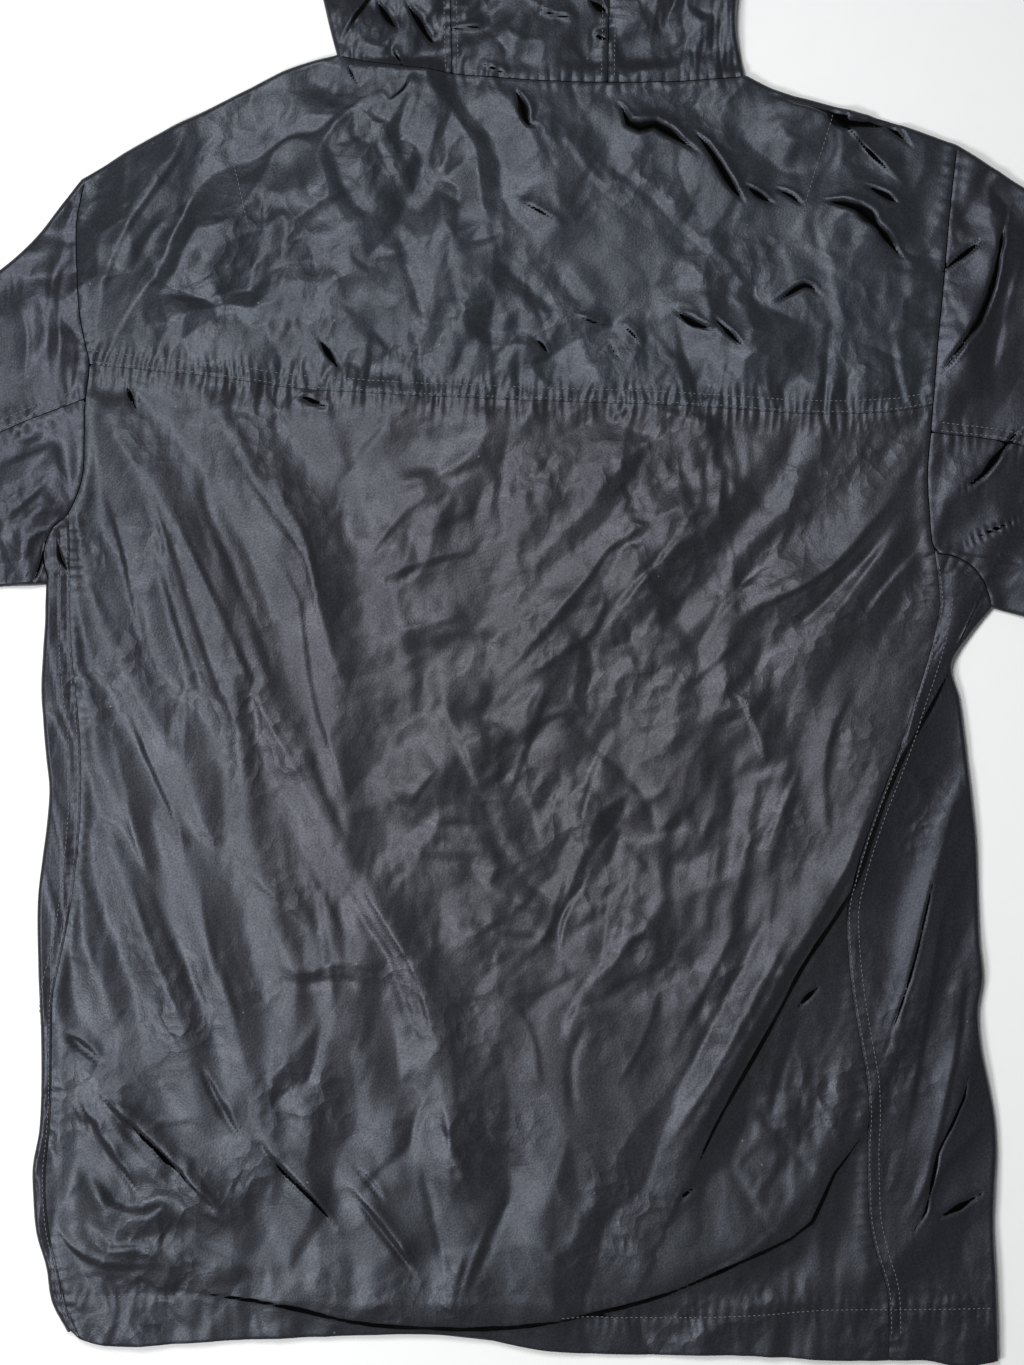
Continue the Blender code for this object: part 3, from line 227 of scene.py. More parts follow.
# ---- creases of the cloth: kind, height, half width, line --------------------------------------
# Left and right are those of someone who walks along the line.
#   ridge   a sharp crest, steep on one side and long on the other
#   trough  a soft hollow
#   groove  a narrow deep fold under one lip, with painted shade at its foot
#   dip     a groove without that painted shade
#   lap     cloth folded a little over itself: high on the left, a sharp step down to the right,
#           with painted shade at its foot
#   step    a lap without that painted shade
#   crest   a straight sharp edge over a wide plane flank on the left
CREASES = [
    # yoke
    ("groove", 4.5, 3.3, [(56, 747), (62, 740), (68, 728), (80, 731), (94, 723), (112, 711)]),
    ("groove", 3.6, 2.8, [(101, 731), (113, 717), (125, 697), (138, 680)]),
    ("groove", 3.0, 2.2, [(133, 697), (143, 689), (154, 683)]),
    ("groove", 3.0, 2.2, [(152, 694), (163, 688), (170, 682)]),
    ("groove", 4.0, 3.0, [(176, 686), (191, 684), (203, 680), (217, 666), (233, 646)]),
    ("groove", 2.6, 2.2, [(203, 697), (217, 689), (229, 682)]),
    ("lap", 2.0, 2.6, [(-4, 688), (13, 679), (29, 670)]),
    ("groove", 3.4, 2.6, [(-4, 754), (1, 744), (5, 731), (14, 730)]),
    ("groove", 3.0, 2.2, [(90, 622), (98, 616), (106, 611), (121, 607)]),
    ("groove", 2.8, 2.0, [(113, 619), (124, 607), (136, 595)]),
    ("groove", 2.4, 2.2, [(149, 622), (160, 629), (172, 635), (182, 626)]),
    ("groove", 1.6, 1.1, [(6, 605), (13, 600), (19, 592)]),
    ("groove", 1.6, 1.0, [(53, 604), (57, 595), (63, 588)]),
    ("lap", 1.6, 2.6, [(58, 613), (66, 609), (76, 598)]),
    ("lap", 1.6, 2.6, [(34, 618), (44, 614), (56, 611)]),
    ("groove", 4.0, 4.4, [(145, 750), (166, 745), (188, 739), (200, 728), (217, 734), (239, 713)]),
    ("lap", 2.4, 3.0, [(188, 740), (203, 723), (217, 708), (232, 693)]),
    ("ridge", 3.0, 6.0, [(-200, 728), (-206, 709), (-220, 689), (-233, 670), (-243, 650),
                         (-251, 621)]),
    ("trough", 2.6, 5.0, [(-198, 682), (-214, 672), (-227, 652), (-235, 637)]),
    ("trough", 2.0, 4.0, [(-230, 621), (-221, 610), (-214, 599)]),
    ("trough", 1.8, 6.0, [(-149, 640), (-139, 620), (-129, 599)]),
    ("groove", 1.8, 1.6, [(-122, 607), (-114, 594), (-105, 581)]),
    ("ridge", 1.8, 8.0, [(-47, 666), (-38, 633), (-29, 595)]),
    ("trough", 1.6, 5.0, [(-113, 717), (-104, 693), (-88, 672)]),
    ("ridge", 2.0, 6.0, [(-88, 735), (-76, 708), (-59, 681)]),
    ("trough", 1.8, 5.0, [(-59, 717), (-38, 696), (-11, 684)]),
    ("ridge", 2.0, 6.0, [(25, 729), (41, 705), (62, 684)]),
    ("trough", 1.8, 5.0, [(46, 711), (73, 693), (103, 669)]),
    ("ridge", 2.2, 7.0, [(79, 693), (109, 663), (131, 646)]),
    ("trough", 1.6, 5.0, [(-23, 657), (1, 639), (25, 616)]),
    ("ridge", 1.8, 6.0, [(1, 666), (25, 648), (49, 624)]),
    ("trough", 1.6, 5.0, [(-74, 666), (-64, 639), (-53, 603)]),
    ("lap", 1.8, 2.4, [(-104, 771), (-98, 759), (-94, 752)]),
    ("lap", 2.0, 2.4, [(-76, 778), (-71, 770), (-67, 764)]),
    ("lap", 2.0, 2.4, [(-62, 762), (-68, 750), (-80, 742)]),
    # hood
    ("lap", 4.0, 3.0, [(-108, 780), (-98, 796), (-90, 808), (-84, 826)]),
    ("groove", 3.8, 3.0, [(-70, 807), (-61, 794), (-52, 781), (-43, 783)]),
    ("groove", 3.0, 2.8, [(-86, 807), (-79, 795), (-71, 786)]),
    ("lap", 2.6, 2.6, [(-47, 788), (-34, 789), (-17, 790)]),
    ("lap", 2.2, 2.4, [(4, 806), (17, 798), (38, 794)]),
    ("groove", 2.4, 2.2, [(40, 807), (47, 801), (55, 797)]),
    ("lap", 2.0, 2.4, [(43, 788), (50, 783), (56, 782)]),
    ("lap", 2.2, 2.4, [(-25, 769), (-14, 764), (-4, 760)]),
    ("trough", 2.2, 4.0, [(97, 807), (109, 799), (122, 794)]),
    ("ridge", 2.4, 6.0, [(-65, 771), (-59, 789), (-47, 807)]),
    ("lap", 3.0, 3.0, [(-118, 840), (-90, 880), (-76, 940)]),
    ("ridge", 2.6, 7.0, [(20, 830), (-8, 880), (-14, 950)]),
    ("lap", 2.4, 3.0, [(130, 850), (104, 900), (84, 960)]),
    ("trough", 2.2, 6.0, [(-20, 860), (22, 900), (40, 960)]),
    # back, left: long ridges that run from the armhole towards the middle
    ("ridge", 2.6, 5.5, [(-247, 567), (-241, 544), (-227, 522), (-215, 488), (-212, 457),
                         (-202, 418), (-190, 391)]),
    ("ridge", 3.4, 6.0, [(-235, 539), (-220, 518), (-206, 479), (-196, 446), (-184, 410),
                         (-174, 381), (-155, 359)]),
    ("ridge", 2.6, 5.0, [(-217, 528), (-202, 488), (-186, 457), (-166, 410), (-149, 375),
                         (-124, 330), (-106, 295)]),
    ("ridge", 2.8, 4.6, [(-184, 561), (-163, 524), (-141, 493), (-129, 479), (-121, 449),
                         (-113, 418), (-104, 395), (-90, 371)]),
    ("ridge", 2.2, 4.0, [(-149, 532), (-141, 508), (-127, 483), (-118, 442)]),
    ("ridge", 2.2, 4.2, [(-151, 485), (-131, 454), (-125, 410), (-118, 375), (-106, 342),
                         (-98, 310)]),
    ("trough", 2.6, 5.0, [(-127, 367), (-116, 336), (-107, 314), (-97, 299)]),
    ("step", 2.0, 3.0, [(-251, 519), (-238, 483), (-231, 447), (-220, 406)]),
    ("trough", 2.2, 4.5, [(-221, 495), (-208, 447), (-194, 406), (-182, 375)]),
    ("trough", 2.0, 4.5, [(-194, 525), (-178, 483), (-160, 441), (-143, 393)]),
    ("step", 1.8, 3.0, [(-235, 387), (-221, 351), (-203, 309), (-199, 285)]),
    ("ridge", 2.0, 5.0, [(-245, 375), (-235, 333), (-227, 297), (-209, 260)]),
    ("groove", 2.2, 1.4, [(-236, 580), (-233, 570), (-228, 559)]),
    ("groove", 2.6, 1.7, [(-136, 571), (-124, 566), (-110, 560)]),
    # back, lower left
    ("ridge", 2.2, 5.0, [(-236, 291), (-227, 262), (-211, 218), (-195, 183)]),
    ("trough", 2.0, 4.5, [(-221, 291), (-212, 258), (-197, 222), (-184, 186)]),
    ("ridge", 2.0, 5.0, [(-193, 287), (-184, 238), (-173, 212), (-166, 179)]),
    ("ridge", 2.2, 5.0, [(-173, 291), (-142, 268), (-122, 252), (-106, 236)]),
    ("ridge", 2.0, 4.5, [(-134, 297), (-115, 266), (-103, 238)]),
    ("ridge", 2.4, 5.0, [(-150, 232), (-128, 224), (-109, 230), (-89, 228), (-75, 224)]),
    ("trough", 2.0, 4.5, [(-154, 224), (-131, 217), (-110, 220), (-83, 216)]),
    ("ridge", 3.2, 5.0, [(-104, 297), (-83, 260), (-67, 234), (-59, 218), (-53, 193), (-43, 169)]),
    ("trough", 2.4, 4.5, [(-113, 290), (-92, 254), (-76, 228), (-67, 201), (-56, 171)]),
    ("ridge", 2.4, 4.5, [(-47, 159), (-40, 119), (-28, 88)]),
    ("ridge", 2.4, 5.0, [(-32, 61), (-38, 36), (-41, 17)]),
    ("ridge", 2.4, 5.0, [(-16, 80), (-28, 51), (-38, 21)]),
    ("trough", 2.2, 4.5, [(-59, 117), (-50, 75), (-41, 35)]),
    ("trough", 2.0, 4.5, [(-2, 99), (-17, 63), (-34, 27)]),
    ("dip", 3.0, 3.0, [(-275, 190), (-262, 180), (-244, 165)]),
    ("dip", 3.0, 3.2, [(-269, 155), (-253, 128), (-236, 104), (-225, 88)]),
    ("dip", 4.0, 5.0, [(-258, 160), (-233, 131), (-213, 112), (-193, 92), (-170, 72)]),
    ("groove", 2.6, 1.5, [(-250, 152), (-233, 134), (-213, 115), (-193, 95), (-180, 82)]),
    ("groove", 2.8, 1.5, [(-158, 126), (-142, 106), (-122, 88), (-104, 64)]),
    ("dip", 2.2, 2.8, [(-100, 110), (-90, 100), (-78, 86)]),
    ("dip", 3.0, 3.4, [(-102, 98), (-83, 73), (-60, 42)]),
    ("dip", 2.4, 3.0, [(-192, 172), (-178, 143), (-163, 120)]),
    ("step", 1.0, 1.6, [(-225, 131), (-208, 135), (-191, 137)]),
    ("crest", 3.0, 3.2, [(-258, 160), (-222, 120), (-196, 94), (-168, 68)]),
    ("crest", 2.0, 2.6, [(-272, 154), (-250, 124), (-228, 90)]),
    ("crest", 1.8, 2.6, [(-158, 130), (-128, 96), (-102, 62)]),
    ("crest", 1.8, 2.4, [(-104, 102), (-84, 76), (-58, 44)]),
    ("crest", 4.0, 5.6, [(-196, 72), (-210, 84), (-226, 79), (-244, 84), (-256, 100), (-268, 108)]),
    ("crest", 2.4, 3.2, [(-205, 50), (-226, 60), (-246, 60), (-262, 76)]),
    ("step", 2.0, 3.0, [(-280, 78), (-263, 57), (-239, 50), (-209, 52)]),
    # back, middle and right: folds that run down to the left
    ("ridge", 3.0, 5.0, [(229, 516), (211, 494), (182, 463), (133, 438)]),
    ("ridge", 2.6, 5.0, [(235, 505), (191, 442), (163, 412)]),
    ("ridge", 3.0, 4.6, [(131, 516), (106, 508), (55, 479), (49, 469), (13, 430), (-4, 412)]),
    ("ridge", 2.4, 4.6, [(112, 512), (90, 477), (56, 438)]),
    ("ridge", 2.4, 4.2, [(53, 465), (47, 432), (27, 416), (-4, 395)]),
    ("ridge", 2.4, 4.6, [(241, 479), (215, 449), (203, 430)]),
    ("trough", 2.2, 4.5, [(25, 539), (11, 518), (8, 496)]),
    ("trough", 2.4, 4.5, [(232, 495), (206, 471), (178, 441), (151, 423)]),
    ("trough", 2.2, 4.5, [(121, 504), (94, 483), (73, 454)]),
    ("step", 2.2, 3.0, [(131, 395), (140, 371), (149, 347)]),
    ("ridge", 2.4, 5.0, [(199, 398), (184, 361), (182, 332), (184, 295)]),
    ("ridge", 2.8, 4.6, [(237, 391), (233, 372), (229, 355)]),
    ("ridge", 2.0, 4.5, [(-84, 426), (-57, 432), (-29, 440)]),
    ("ridge", 2.0, 4.5, [(-94, 467), (-74, 493), (-57, 508), (-41, 524)]),
    ("ridge", 2.0, 4.5, [(-98, 530), (-86, 543), (-76, 557)]),
    ("ridge", 1.8, 4.5, [(-55, 488), (-38, 496), (-22, 505)]),
    ("ridge", 2.0, 4.5, [(-41, 359), (-23, 366), (-6, 375)]),
    ("ridge", 2.0, 4.5, [(-68, 322), (-58, 336), (-47, 350)]),
    ("trough", 1.8, 4.5, [(25, 387), (43, 363), (73, 333), (85, 297)]),
    ("ridge", 1.8, 4.5, [(-11, 351), (7, 327), (16, 297)]),
    ("trough", 1.8, 4.5, [(-23, 315), (1, 285), (25, 264)]),
    ("step", 1.8, 2.6, [(-38, 264), (-11, 249), (16, 246), (34, 231)]),
    ("step", 1.8, 2.6, [(43, 279), (28, 258), (25, 237)]),
    ("ridge", 2.0, 4.5, [(73, 291), (55, 249), (49, 213)]),
    ("ridge", 1.8, 4.5, [(-11, 213), (7, 189), (13, 153)]),
    ("trough", 1.8, 4.5, [(43, 201), (31, 171), (34, 135)]),
    ("ridge", 1.8, 4.5, [(85, 219), (73, 183), (55, 153)]),
    # straight crests over flat planes, in the middle
    ("crest", 1.5, 4.0, [(-16, 396), (18, 432), (51, 469)]),
    ("crest", 1.3, 4.0, [(104, 489), (78, 462), (54, 435)]),
    ("crest", 1.2, 3.6, [(-7, 331), (6, 368), (20, 406)]),
    ("crest", 1.2, 3.6, [(171, 353), (158, 324), (144, 292)]),
    ("crest", 1.1, 3.4, [(97, 392), (116, 410), (134, 426)]),
    ("crest", 1.2, 3.6, [(84, 276), (60, 302), (34, 330)]),
    ("crest", 1.3, 3.8, [(-86, 512), (-52, 520), (-14, 536)]),
    ("crest", 1.2, 3.8, [(-88, 458), (-50, 472), (-22, 478)]),
    ("crest", 1.1, 3.4, [(-52, 398), (-34, 362), (-18, 322)]),
    ("crest", 1.1, 3.4, [(60, 372), (44, 340), (36, 306)]),
    ("crest", 1.2, 3.6, [(156, 470), (128, 446), (104, 408)]),
    ("crest", 1.1, 3.6, [(66, 240), (40, 214), (24, 176)]),
    ("crest", 1.1, 3.4, [(-30, 292), (-8, 268), (20, 262)]),
    # beside the large fold
    ("ridge", 3.2, 5.5, [(167, 263), (146, 220), (132, 194), (114, 163), (94, 130), (79, 110)]),
    ("trough", 2.6, 4.6, [(151, 264), (131, 225), (116, 195), (97, 159), (82, 135)]),
    ("ridge", 2.2, 5.0, [(137, 267), (118, 231), (103, 201), (85, 171)]),
    ("crest", 3.6, 4.4, [(90, 100), (112, 141), (143, 197), (162, 233), (190, 277), (203, 310),
                         (222, 356)]),
    ("groove", 1.2, 1.2, [(163, 200), (172, 210), (183, 220)]),
    ("groove", 1.6, 1.2, [(94, 87), (100, 93), (107, 98)]),
    ("trough", 2.0, 3.2, [(137, 147), (160, 123), (181, 99)]),
    ("step", 1.8, 2.4, [(177, 151), (185, 136), (193, 122)]),
    ("ridge", 2.2, 5.0, [(110, 39), (136, 57), (160, 78)]),
    ("trough", 2.0, 4.5, [(169, 201), (157, 165), (148, 129)]),
    # the right front's strip on the back
    ("ridge", 1.8, 5.0, [(267, 352), (259, 324), (250, 291), (240, 257), (235, 232), (230, 208),
                         (223, 175), (217, 155)]),
    ("groove", 1.2, 1.4, [(252, 304), (243, 262), (235, 228), (225, 196), (214, 164)]),
    ("groove", 1.2, 1.4, [(271, 186), (267, 155), (258, 133), (249, 114), (245, 90), (238, 72),
                          (220, 54)]),
    ("groove", 1.2, 1.7, [(284, 97), (262, 84), (241, 73)]),
    ("crest", 1.3, 3.0, [(222, 60), (240, 92), (250, 130), (262, 190), (266, 240)]),
    ("crest", 1.2, 2.6, [(228, 120), (238, 170), (247, 226), (256, 280)]),
    ("ridge", 1.6, 4.5, [(272, 187), (269, 159), (252, 119)]),
    ("ridge", 2.2, 5.0, [(244, 74), (246, 96), (258, 114), (283, 139)]),
    ("ridge", 2.4, 5.0, [(274, 393), (269, 375), (265, 351)]),
    # sleeves, near the body
    ("groove", 3.0, 1.8, [(306, 556), (292, 541), (283, 530), (274, 519), (256, 508)]),
    ("groove", 2.8, 1.6, [(306, 498), (289, 491), (275, 485), (262, 477)]),
    ("groove", 4.0, 2.6, [(294, 690), (289, 668), (285, 645), (276, 617), (262, 596), (246, 574)]),
    ("groove", 2.0, 2.2, [(281, 664), (268, 655), (249, 640)]),
    ("ridge", 2.0, 5.0, [(303, 657), (293, 627), (289, 597), (280, 573)]),
    ("ridge", 2.6, 4.6, [(248, 476), (265, 473), (283, 470), (303, 465)]),
    ("ridge", 2.4, 5.0, [(-271, 658), (-274, 627), (-274, 597), (-272, 572)]),
    ("trough", 2.4, 4.0, [(-277, 657), (-280, 621), (-281, 591), (-278, 567)]),
    ("groove", 2.0, 1.3, [(-276, 484), (-274, 472), (-268, 462)]),
    ("ridge", 2.8, 4.0, [(-295, 495), (-284, 502), (-268, 504)]),
    ("trough", 2.6, 3.6, [(-311, 495), (-299, 502), (-287, 513), (-278, 525)]),
    ("groove", 2.4, 1.4, [(-283, 484), (-286, 468), (-292, 452)]),
    ("ridge", 2.4, 4.0, [(-293, 471), (-291, 483), (-283, 488), (-275, 483)]),
    ("ridge", 2.2, 4.0, [(-311, 525), (-298, 530), (-283, 536), (-275, 543)]),
    ("trough", 2.2, 3.6, [(-305, 543), (-293, 545), (-281, 552)]),
    ("ridge", 2.0, 5.0, [(-299, 627), (-293, 603), (-296, 573)]),
    ("trough", 2.0, 4.5, [(-287, 639), (-284, 609), (-289, 579)]),
]
RIDGE_CHORDS, BAG_CHORDS, CREASE_CHORDS = 10, 30, 8
FAR = 9.0                 # stands for no slit near by, in half widths of a slit
# half width of the painted shade along a seam, for each millimetre of the join's depth
SEAM_WIDTH = 0.7
FOLD_SHARE = 0.5          # the rest of a fold's height is in the creases on it

# ---- curves ------------------------------------------------------------------------------------
CURVE_STEPS = 10


def fine(points, steps=CURVE_STEPS):
    """A smooth curve through the points, with so many short chords to each stretch."""
    p = np.array(points, float)
    p = np.vstack([2 * p[0] - p[1], p, 2 * p[-1] - p[-2]])
    t = np.linspace(0, 1, steps, endpoint=False)[:, None]
    parts = [0.5 * (2 * b + (c - a) * t + (2 * a - 5 * b + 4 * c - d) * t * t
                    + (3 * b - a - 3 * c + d) * t ** 3)
             for a, b, c, d in zip(p, p[1:], p[2:], p[3:])]
    return np.vstack([*parts, p[-2:-1]])


def lengths(curve):
    return np.concatenate([[0.0], np.cumsum(np.linalg.norm(np.diff(curve, axis=0), axis=1))])


def spread(curve, count):
    """count + 1 points at even distances along a fine curve."""
    along = lengths(curve)
    want = np.linspace(0, along[-1], count + 1)
    return np.column_stack([np.interp(want, along, axis) for axis in curve.T])


def even(points, count):
    return spread(fine(points), count)


def stretches(points, marks, counts):
    """Even points on each stretch of one curve between the numbered marks."""
    curve = fine(points)
    parts = [spread(curve[a * CURVE_STEPS:b * CURVE_STEPS + 1], count)
             for a, b, count in zip(marks, marks[1:], counts)]
    return np.vstack([parts[0], *(part[1:] for part in parts[1:])])


def unit(vectors):
    return vectors / np.maximum(np.linalg.norm(vectors, axis=-1, keepdims=True), 1e-12)


def across(chain, sign):
    """Unit vectors square to a chain of points, to its left for sign +1."""
    ends = np.vstack([chain[:1], chain, chain[-1:]])
    run = unit(ends[2:] - ends[:-2])
    return np.column_stack([-run[:, 1], run[:, 0]]) * sign


def moved(chain, distance, sign):
    return chain + across(chain, sign) * distance


def dense(chain):
    return fine(chain, FINE)


def straight(a, b, count):
    t = np.linspace(0, 1, count + 1)[:, None]
    return np.array(a) * (1 - t) + np.array(b) * t


def patch(start, end, low, high):
    """Points of a grid that fills four chains: start and end are rows, low and high their ends."""
    u = np.linspace(0, 1, len(start))[None, :, None]
    v = np.linspace(0, 1, len(low))[:, None, None]
    sides = low[:, None] * (1 - u) + high[:, None] * u + start[None] * (1 - v) + end[None] * v
    corners = (start[0] * (1 - u) * (1 - v) + start[-1] * u * (1 - v)
               + end[0] * (1 - u) * v + end[-1] * u * v)
    grid = sides - corners
    grid[0], grid[-1] = start, end
    grid[:, 0], grid[:, -1] = low, high
    return grid


# ---- seams shared by neighbouring pieces -------------------------------------------------------
def hood_outline():
    """The hood's edge from the left of the neck over the crown to the right of it."""
    halves = []
    for side, columns in ((LEFT, NECK_COLUMNS[0]), (RIGHT, NECK_COLUMNS[2])):
        rise = even([side["neck"], *side["hood_side"], side["hood_corner"]], HOOD_ROWS)
        crown = even([side["hood_corner"], *side["hood_crown"], side["hood_seam_crown"]], columns)
        halves.append(np.vstack([rise, crown[1:]]))
    middle = even([LEFT["hood_seam_crown"], *HOOD_CROWN, RIGHT["hood_seam_crown"]], NECK_COLUMNS[1])
    return np.vstack([halves[0], middle[1:-1], halves[1][::-1]])


def outline_chains(side, hood, hood_out):
    """Points along the outline of a half, and the way out at each of them."""
    s = side["sign"]
    lines = {
        "shoulder": even([side["neck"], *side["shoulder"], side["tip"]], SHOULDER_COLUMNS),
        "sleeve_top": even([side["tip"], *side["sleeve_start"],
                            *(row["top"] for row in side["sleeve"])], SLEEVE_ROWS),
        "sleeve_under": even([side["underarm"], *side["sleeve_under_start"],
                              *(row["under"] for row in side["sleeve"])], SLEEVE_ROWS),
        "edge": even([side["underarm"], *side["side"], side["corner"]], SIDE_ROWS)}
    turn_to = {"shoulder": s, "sleeve_top": s, "sleeve_under": -s, "edge": s}
    out = {name: across(line, turn_to[name]) for name, line in lines.items()}
    lines["hood"] = hood if s < 0 else hood[::-1]
    out["hood"] = hood_out.copy() if s < 0 else hood_out[::-1].copy()
    for a, b, at_a in (("shoulder", "sleeve_top", -1), ("shoulder", "hood", 0),
                       ("edge", "sleeve_under", 0)):
        out[a][at_a] = unit(out[a][at_a] + out[b][0])
        out[b][0] = out[a][at_a]
    return lines, out


def lay_out_seams(side, neck, tip, underarm):
    """Armholes, side seam, front neck and zip edge of a half."""
    side["back_arm"] = dense(stretches([tip, *side["armhole"], underarm], ARMHOLE_MARKS,
                                       ARMHOLE_ROWS))
    side["front_arm"] = dense(stretches([tip, *side["front_armhole"], underarm],
                                        FRONT_ARMHOLE_MARKS, FRONT_ARMHOLE_ROWS))
    seam_start = side["armhole"][ARMHOLE_MARKS[3] - 1]
    side["seam"] = dense(stretches([seam_start, *side["side_seam"]],
                                   (0, 1, len(side["side_seam"])), (ARMHOLE_ROWS[3], SIDE_ROWS)))
    slit = ZIP_X + side["sign"] * ZIP_SLIT
    side["front_neck_line"] = dense(even([neck, *side["front_neck"], (slit, FRONT_NECK_Y)],
                                         FRONT_NECK_COLUMNS))
    middle = (slit, side["underarm"][1])
    side["zip_edge"] = np.vstack([
        straight((slit, ZIP_FOOT_Y), middle, SIDE_ROWS * FINE),
        straight(middle, (slit, FRONT_NECK_Y), sum(FRONT_ARMHOLE_ROWS) * FINE)[1:]])


def lay_out():
    """Give each half the chains of points that its pieces share."""
    hood = hood_outline()
    hood_out = across(hood, 1)
    for side in SIDES:
        lines, out = outline_chains(side, hood, hood_out)
        inner = {name: line - out[name] * EDGE_RADIUS for name, line in lines.items()}
        side["out"] = {name: unit(dense(way)) for name, way in out.items()}
        side["in"] = {name: dense(line) for name, line in inner.items()}
        lay_out_seams(side, inner["shoulder"][0], inner["shoulder"][-1], inner["edge"][0])


lay_out()
YOKE_LINE = [LEFT["back_arm"][ARMHOLE_ROWS[0] * FINE], *YOKE_SEAM,
             RIGHT["back_arm"][ARMHOLE_ROWS[0] * FINE]]
NECK_LINE = dense(stretches(
    [LEFT["in"]["shoulder"][0], BACK_NECK[0], LEFT["hood_seam_neck"], BACK_NECK[1],
     RIGHT["hood_seam_neck"], BACK_NECK_RIGHT[0], RIGHT["in"]["shoulder"][0]],
    (0, 2, 4, 6), NECK_COLUMNS))


def sleeve_seam(side, arm, mark, on_back):
    """The seam along the middle of a sleeve, from the armhole to the cuff."""
    share = [row["seam"] if on_back else 0.5 for row in side["sleeve"]]
    knots = [side[arm][mark * FINE]]
    knots += [np.array(row["top"]) * (1 - f) + np.array(row["under"]) * f
              for row, f in zip(side["sleeve"], share)]
    return dense(even(knots, SLEEVE_ROWS))


# ---- soft shapes and noise ---------------------------------------------------------------------
def smooth(t):
    t = np.clip(t, 0.0, 1.0)
    return t * t * (3 - 2 * t)


LATTICE_SIZE = 256
NOISE_SHIFT, FACET_SHIFT = (37.31, 11.73), (17.3, 29.1)       # each seed looks at its own place
LATTICES = [np.random.default_rng(seed).uniform(-1, 1, (LATTICE_SIZE, LATTICE_SIZE))
            for seed in range(12)]


def noise(x, y, seed):
    """Smooth random values between -1 and 1, about one swell to each unit."""
    table, size = LATTICES[seed % len(LATTICES)], LATTICE_SIZE
    x, y = x + NOISE_SHIFT[0] * seed, y + NOISE_SHIFT[1] * seed
    i, j = np.floor(x).astype(int), np.floor(y).astype(int)
    u, v = smooth(x - i), smooth(y - j)
    i, j, k, m = i % size, j % size, (i + 1) % size, (j + 1) % size
    low = table[i, j] * (1 - u) + table[k, j] * u
    high = table[i, m] * (1 - u) + table[k, m] * u
    return low * (1 - v) + high * v


def near_line(xy, line, reach):
    """Points within reach of a line: their numbers, signed distances (left is +), and how far
    along the line they lie."""
    low, high = line.min(axis=0) - reach, line.max(axis=0) + reach
    ids = np.nonzero(np.all((xy > low) & (xy < high), axis=1))[0]
    p = xy[ids]
    best, offset, place = np.full(len(ids), np.inf), np.zeros(len(ids)), np.zeros(len(ids))
    for a, b, start in zip(line, line[1:], lengths(line)):
        run = b - a
        size = np.hypot(*run)
        if size < 1e-9:
            continue
        t = np.clip((p - a) @ run / size ** 2, 0, 1)
        off = p - a - t[:, None] * run
        gap = np.hypot(off[:, 0], off[:, 1])
        closer = gap < best
        side = np.where(run[0] * off[:, 1] - run[1] * off[:, 0] > 0, 1, -1)
        best = np.where(closer, gap, best)
        offset = np.where(closer, gap * side, offset)
        place = np.where(closer, start + t * size, place)
    kept = best < reach
    return ids[kept], offset[kept], place[kept]


def fade(share, ends):
    """Full in the middle, running out over the given share at each end."""
    return smooth(share / ends) * smooth((1 - share) / ends)


# shapes of the creases across their line, from the signed distance d: left is +
def trough(d, width):
    """A hollow with plane flanks, rounded at its foot, that ends one half width away."""
    return -np.clip(1.06 - np.sqrt((d / width) * (d / width) + 0.0136), 0, 1) ** 1.15


def groove(d, width):
    """A narrow fold under one sharp lip."""
    lip = 0.3 * np.exp(-((d - 1.6 * width) / (0.9 * width)) ** 2)
    return lip - np.clip(1.1 - np.abs(d) / width, 0, 1)


def dip(d, width):
    return groove(d, width) * 0.9


def lap(d, width):
    return np.where(d > 0, np.exp(-np.abs(d) / (2.6 * width)), smooth(1 + d / 1.7))


def crest(d, width):
    """A straight sharp edge: one narrow steep flank, and a wide one that lies almost plane."""
    return np.where(d > 0, np.clip(1 - d / (5 * width), 0, 1) ** 1.3, np.clip(1 + d / width, 0, 1))


def ridge(d, width):
    return np.where(d > 0, np.exp(-np.abs(d) / (1.5 * width)), np.clip(1 + d / (0.55 * width), 0, 1))


# shape, reach in half widths, and share of the height, for each kind of crease
KINDS = {
    "ridge": (ridge, 6.0, 0.4),
    "trough": (trough, 1.05, 0.4),
    "groove": (groove, 4.0, 1.0),
    "lap": (lap, 9.0, 0.9),
    "dip": (dip, 4.0, 1.0),
    "step": (lap, 9.0, 0.8),
    "crest": (crest, 5.0, 1.0),
}
NARROWED = ("groove", "lap", "dip", "step")      # kinds that grow narrow towards their ends
LEAST_WIDTH = 0.4
# painted shade at the foot of a slit: how far right of the line it lies, and its half width as a
# share
PAINTED_SLIT_SHADES = {"groove": (0.0, 0.85), "lap": (1.0, 0.32)}
# painted shade along a bag: how far to the side behind its line it lies, its half width, and the
# least half width of any painted slit shade
BAG_SLIT, BAG_SLIT_WIDTH, LEAST_SLIT = 1.8, 1.3, 0.05
BAG_REACH, BAG_RUN_OUT = 12, 0.12
CREASE_RUN_OUT, CREASE_TAPER = 0.3, 0.5
# how uneven the height is along a crease and a bag: share, and length of its swells
CREASE_UNEVEN, BAG_UNEVEN, UNEVEN_WIDE = (0.3, 9), (0.4, 13), 40


# ---- lie of the streaks ------------------------------------------------------------------------
FLOW_MIDDLE, FLOW_WIDTH = 20.0, 210.0     # the streaks lean to this line from both sides
FLOW_LEAN, FLOW_STRAIGHTEN = 0.66, 0.00036
FLOW_TOP = 585.0


def flow(x, y):
    """Distance across the streaks, which run from both underarms to the middle of the hem."""
    down = np.clip(FLOW_TOP - y, 0, None)
    drift = FLOW_LEAN * down - FLOW_STRAIGHTEN * down ** 2
    return x + np.tanh((x - FLOW_MIDDLE) / FLOW_WIDTH) * drift


